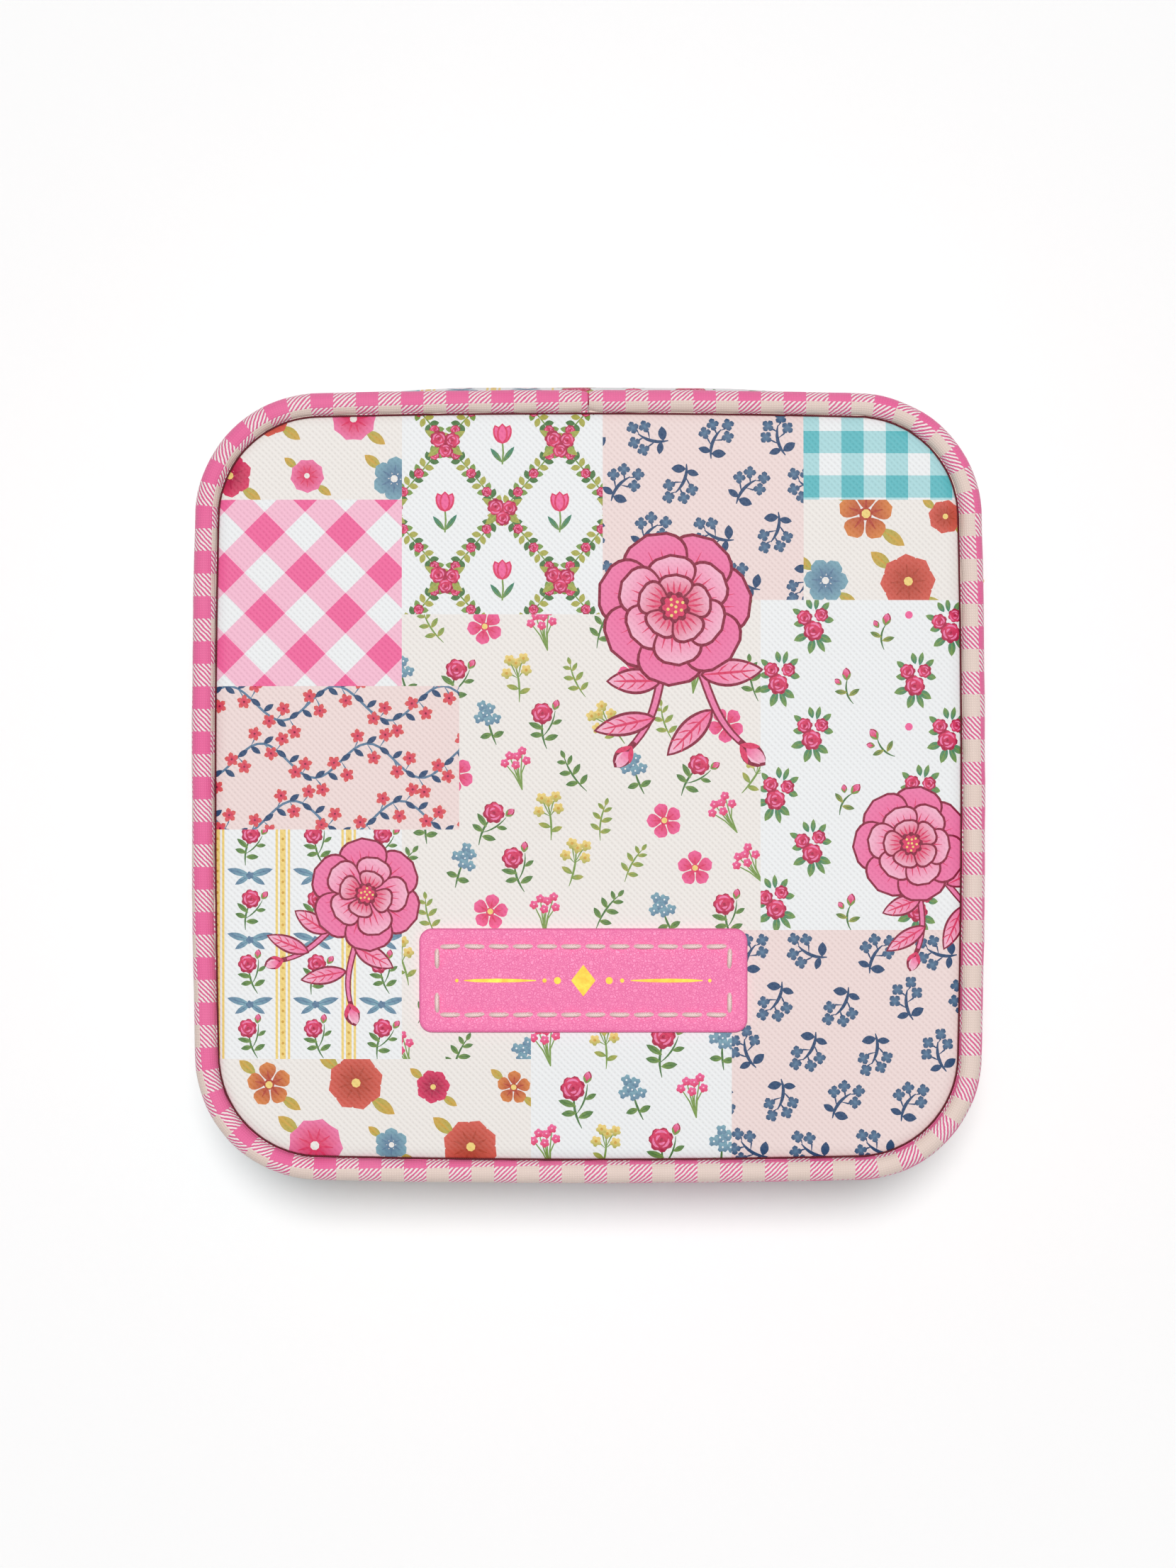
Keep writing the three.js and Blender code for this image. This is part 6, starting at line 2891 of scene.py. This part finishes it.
@dataclass
class Interior(Assembly):
    """The velvet tray, its dividers and ring rolls, and the lid's lining with its mirror."""

    cavity: float = 48.05
    divider: float = 2.0
    floor: float = 5.0
    divider_top: float = 27.0
    bed_thick: float = 1.0
    bed_back: float = 6.35
    bed_bend: float = 10.5
    roll_width: float = 8.6
    roll_pitch: float = 9.0
    roll_low: float = 6.0
    roll_high: float = 21.0
    roll_count: int = 6
    right: float = 1.15
    frame_outline: Outline = Outline(41.6, 41.6, 12.0)

    def build(self) -> None:
        """Make the inside of both halves."""
        tray_rows = [(4.7, 4.0), (4.7, 26.2, 0.5), (5.6, 26.2, 0.2), (5.6, 37.5, 0.6), (6.8, 37.5, 0.6)]
        tray_rows += [(6.8, self.floor, 1.2), (9.5, self.floor)]
        lid_rows = [(4.6, 50.4), (4.6, 35.8, 0.3), (5.2, 35.8, 0.3), (5.2, 49.4, 1.2), (8.5, 49.4)]
        for node, body, rows in (("base_frame", "base", tray_rows), ("lid_lining", "lid", lid_rows)):
            mesh = tray(CASE, divided(rounded(rows), 3.0), 3.0).mesh(node + "_velvet")
            piece(mesh.name, mesh, self.finishes.velvet, body, node, sharp=50.0)
        self._divider("divider_long", True, 0.0, (-self.cavity, self.cavity))
        self._divider("divider_front", False, -16.07, (-self.cavity, -self.right))
        self._divider("divider_back", False, 16.07, (-self.cavity, -self.right))
        self._divider("divider_ring", False, 7.5, (self.right, self.cavity))
        turn = self.cavity - self.bed_bend
        corner = arc(turn, -turn, self.bed_bend, -math.pi / 2, math.pi / 2, 13)
        outline = [(self.right, -self.cavity), *corner]
        outline += [(self.cavity, self.bed_back), (self.right, self.bed_back)]
        middle = self.floor + self.bed_thick / 2

        def lay(x: float, y: float, rise: float) -> tuple[float, float, float]:
            """Set a point of the bed in its place."""
            return x, y, middle + rise

        bed = cut_out("ring_bed_velvet", [outline], self.bed_thick, 0.2, lay)
        piece("ring_bed_velvet", bed, self.finishes.deep_velvet, "base", "ring_bed")
        for number in range(self.roll_count):
            self._roll(number)
        self._mirror()
        self._hinge_lining()

    def _divider(self, name: str, lengthwise: bool, middle: float, ends: Flat) -> None:
        """Wrap a padded divider: crowned faces, a round top and a slightly uneven cover.

        Args:
            name: The solid that it stands for.
            lengthwise: Whether it runs front to back.
            middle, ends: Where it lies, across and along.
        """
        half = self.divider / 2
        top = self.divider_top - half
        side = []
        for share in (step / 8 for step in range(8)):
            side.append((half + 0.16 * math.sin(math.pi * share), self.floor + (top - self.floor) * share))
        section = [(-width, up) for width, up in side] + arc(0, top, half, math.pi, -math.pi, 9) + side[::-1]

        def lay(run: float, across: float, up: float) -> Vector:
            """Set a point of the cover in its place."""
            across += middle + 0.09 * noise.noise(Vector((run * 0.22, up * 0.3, middle)))
            return Vector((across, run, up)) if lengthwise else Vector((run, across, up))

        shell = bolster(section, *ends, round((ends[1] - ends[0]) / 2.5), 0.12, lay)
        item = piece(name + "_velvet", shell.mesh(name), self.finishes.velvet, "base", name, sharp=60.0)

    def _roll(self, number: int) -> None:
        """Make a padded ring roll: a slack upright strip that its filling swells.

        Args:
            number: Which roll it is, from the front.
        """
        name = f"ring_roll_{number + 1}"
        far = 37.4 if number == 0 else self.cavity - 0.1
        half = self.roll_width / 2 - 0.3
        middle = -self.cavity + number * self.roll_pitch + self.roll_width / 2
        side = [(half, self.roll_low + rise) for rise in (0.0, 2.2, 4.4, 6.6, 8.8)]
        section = [(-width, up) for width, up in side]
        section += arc(0, self.roll_high - 0.3 - half, half, math.pi, -math.pi, 11)
        section += [*side[::-1], (half / 3, self.roll_low), (-half / 3, self.roll_low)]
        section = moved(section, (middle, 0))
        shell = bolster(section, self.right, far, 14, 0.5, lambda run, across, up: Vector((run, across, up)))
        mesh = shell.mesh(name + "_cloth")
        sewn = self.roll_low + 0.1
        places = Padding(4.0, 0.28).stuff(mesh, lambda point: point.z < sewn)
        for vertex, place in zip(mesh.vertices, places):
            vertex.co = place * MM
        item = piece(name + "_cloth", mesh, self.finishes.deep_velvet, "base", name, sharp=80.0)
        item.modifiers.new("smooth", "SUBSURF").render_levels = 1

    def _mirror(self) -> None:
        """Make the padded frame and the bevelled mirror that it holds."""
        rows = [(0.0, 49.4), (0.0, 47.3, 0.6), (1.2, 46.4, 1.2), (4.0, 46.2, 1.0)]
        rows += [(7.2, 46.4, 1.0), (8.0, 47.1, 0.3), (6.0, 47.15), (6.0, 49.4)]
        rows = rounded(rows)
        walk = self.frame_outline.walk(1.5, 16)
        puckers = round(walk[-1].run / 6.0)

        def section(station: Station) -> list[Flat]:
            """Give the frame's section, a little puckered along the mirror."""
            pucker = 0.07 * math.sin(2 * math.pi * puckers * station.run / walk[-1].run)
            return [(inset, z + (pucker if 0.5 < inset < 7.5 and z < 47 else 0)) for inset, z in rows]

        mesh = swept(walk, section, ring=True).mesh("mirror_frame_velvet")
        ring = piece(mesh.name, mesh, self.finishes.velvet, "lid", "mirror_frame")
        glass = tray(self.frame_outline, [(6.2, 49.2), (6.2, 47.5), (6.3, 47.4), (9.5, 47.2)])
        piece("mirror_glass", glass.mesh("mirror_glass"), self.finishes.mirror, "lid", "mirror", sharp=1.0)

    def _hinge_lining(self) -> None:
        """Make the velvet strip over the hinge, between the base and the lid."""
        low, high, half, steps = 26.4, 45.0, 35.9, 24
        columns = [half * (2 * step / steps - 1) for step in range(steps + 1)]
        section = [(x, 5.45) for x in columns] + [(x, 5.22) for x in reversed(columns)]
        heights = [low + (high - low) * step / steps for step in range(steps + 1)]
        shell = Shell().loft([[back_wall(x, z, inset) for x, inset in section] for z in heights], caps=())
        last = len(section) - 1
        for first in (0, steps * len(section)):
            for step in range(steps):
                shell.face(first + corner for corner in (step, step + 1, last - step - 1, last - step))
        mesh = shell.mesh("hinge_lining_velvet")
        item = shown(mesh.name, mesh, self.finishes.velvet.material, 60.0)
        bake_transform(item)
        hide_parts("hinge_lining")


@dataclass
class Studio:
    """The pale floor, the soft light and the camera, which looks straight down."""

    lens: float = 114.96
    rise: float = 700.0
    aim: tuple[float, float, float] = (-0.05, 0.35, 52.4)
    floor_half: float = 6000.0
    world: float = 0.16
    sun: float = 2.36
    sun_size: float = 12.0
    sun_lean: float = 7.5
    box_place: tuple[float, float, float] = (0, 60, 1000)
    box_size: float = 300.0
    box_power: float = 0.4

    def build(self) -> None:
        """Set the studio up."""
        scene = bpy.context.scene
        corners = box_corners((-self.floor_half, -self.floor_half), (self.floor_half, self.floor_half))
        floor = Shell([Vector((x, y, -0.05)) for x, y in corners])
        floor.face(range(4))
        shown("floor", floor.raw("floor"), Backdrop().make())
        camera = self._hung("camera", bpy.data.cameras.new("camera"), Vector(self.aim) + UP * self.rise)
        camera.data.lens, camera.data.sensor_width, camera.data.clip_start = self.lens, 36.0, 0.01
        scene.camera = camera
        scene.world = bpy.data.worlds.new("studio")
        scene.world.use_nodes = True
        light = scene.world.node_tree.nodes["Background"].inputs
        light["Color"].default_value = (1, 1, 1, 1)
        light["Strength"].default_value = self.world
        box = self._hung("softbox", bpy.data.lights.new("softbox", "AREA"), Vector(self.box_place))
        box.data.energy, box.data.size = self.box_power, self.box_size * MM
        box.rotation_euler = Vector(self.box_place).to_track_quat("Z", "Y").to_euler()
        sun = self._hung("key", bpy.data.lights.new("key", "SUN"), Vector())
        sun.data.energy, sun.data.angle = self.sun, math.radians(self.sun_size)
        sun.rotation_euler = (math.radians(-self.sun_lean), 0, 0)
        scene.view_settings.view_transform = "Standard"

    def _hung(self, name: str, data: bpy.types.ID, place: Vector) -> Object:
        """Put a lamp or a camera in the scene, at a place in millimetres.

        Args:
            name: Its name.
            data: The lamp or the camera.
            place: Where it hangs.

        Returns:
            The object.
        """
        item = bpy.data.objects.new(name, data)
        item.location = place * MM
        bpy.context.scene.collection.objects.link(item)
        return item


def main() -> None:
    """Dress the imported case."""
    logging.basicConfig(level=logging.INFO, format="%(message)s", force=True)
    finishes = Finishes()
    panel = LidPanel(finishes)
    parts = [
        panel,
        Label(finishes, panel),
        Piping(finishes, "lid_piping", "lid", 52.4, 1),
        Piping(finishes, "base_piping", "base", 2.0, -1),
        # dark cords in the seams: thread, and painted shadow of the grooves
        SeamCordAndShade(finishes, "lid_seam_cord", "lid", 52.95),
        SeamCordAndShade(finishes, "base_seam_cord", "base", 1.2),
        Gusset(finishes, "base_gusset", "base", -1, 3.9, 31),
        Gusset(finishes, "lid_gusset", "lid", 1, 50.5, 47),
        Spine(finishes),
        BasePanel(finishes),
        Zip(finishes),
        Slider(finishes),
        Interior(finishes),
    ]
    for part in parts:
        part.build()
        log.info("%s is built", type(part).__name__)
    for node in ("base_board", "lid_board"):
        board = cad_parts[node]
        board.data.materials.clear()
        board.data.materials.append(finishes.card.material)
    Studio().build()


if __name__ == "__main__":
    main()
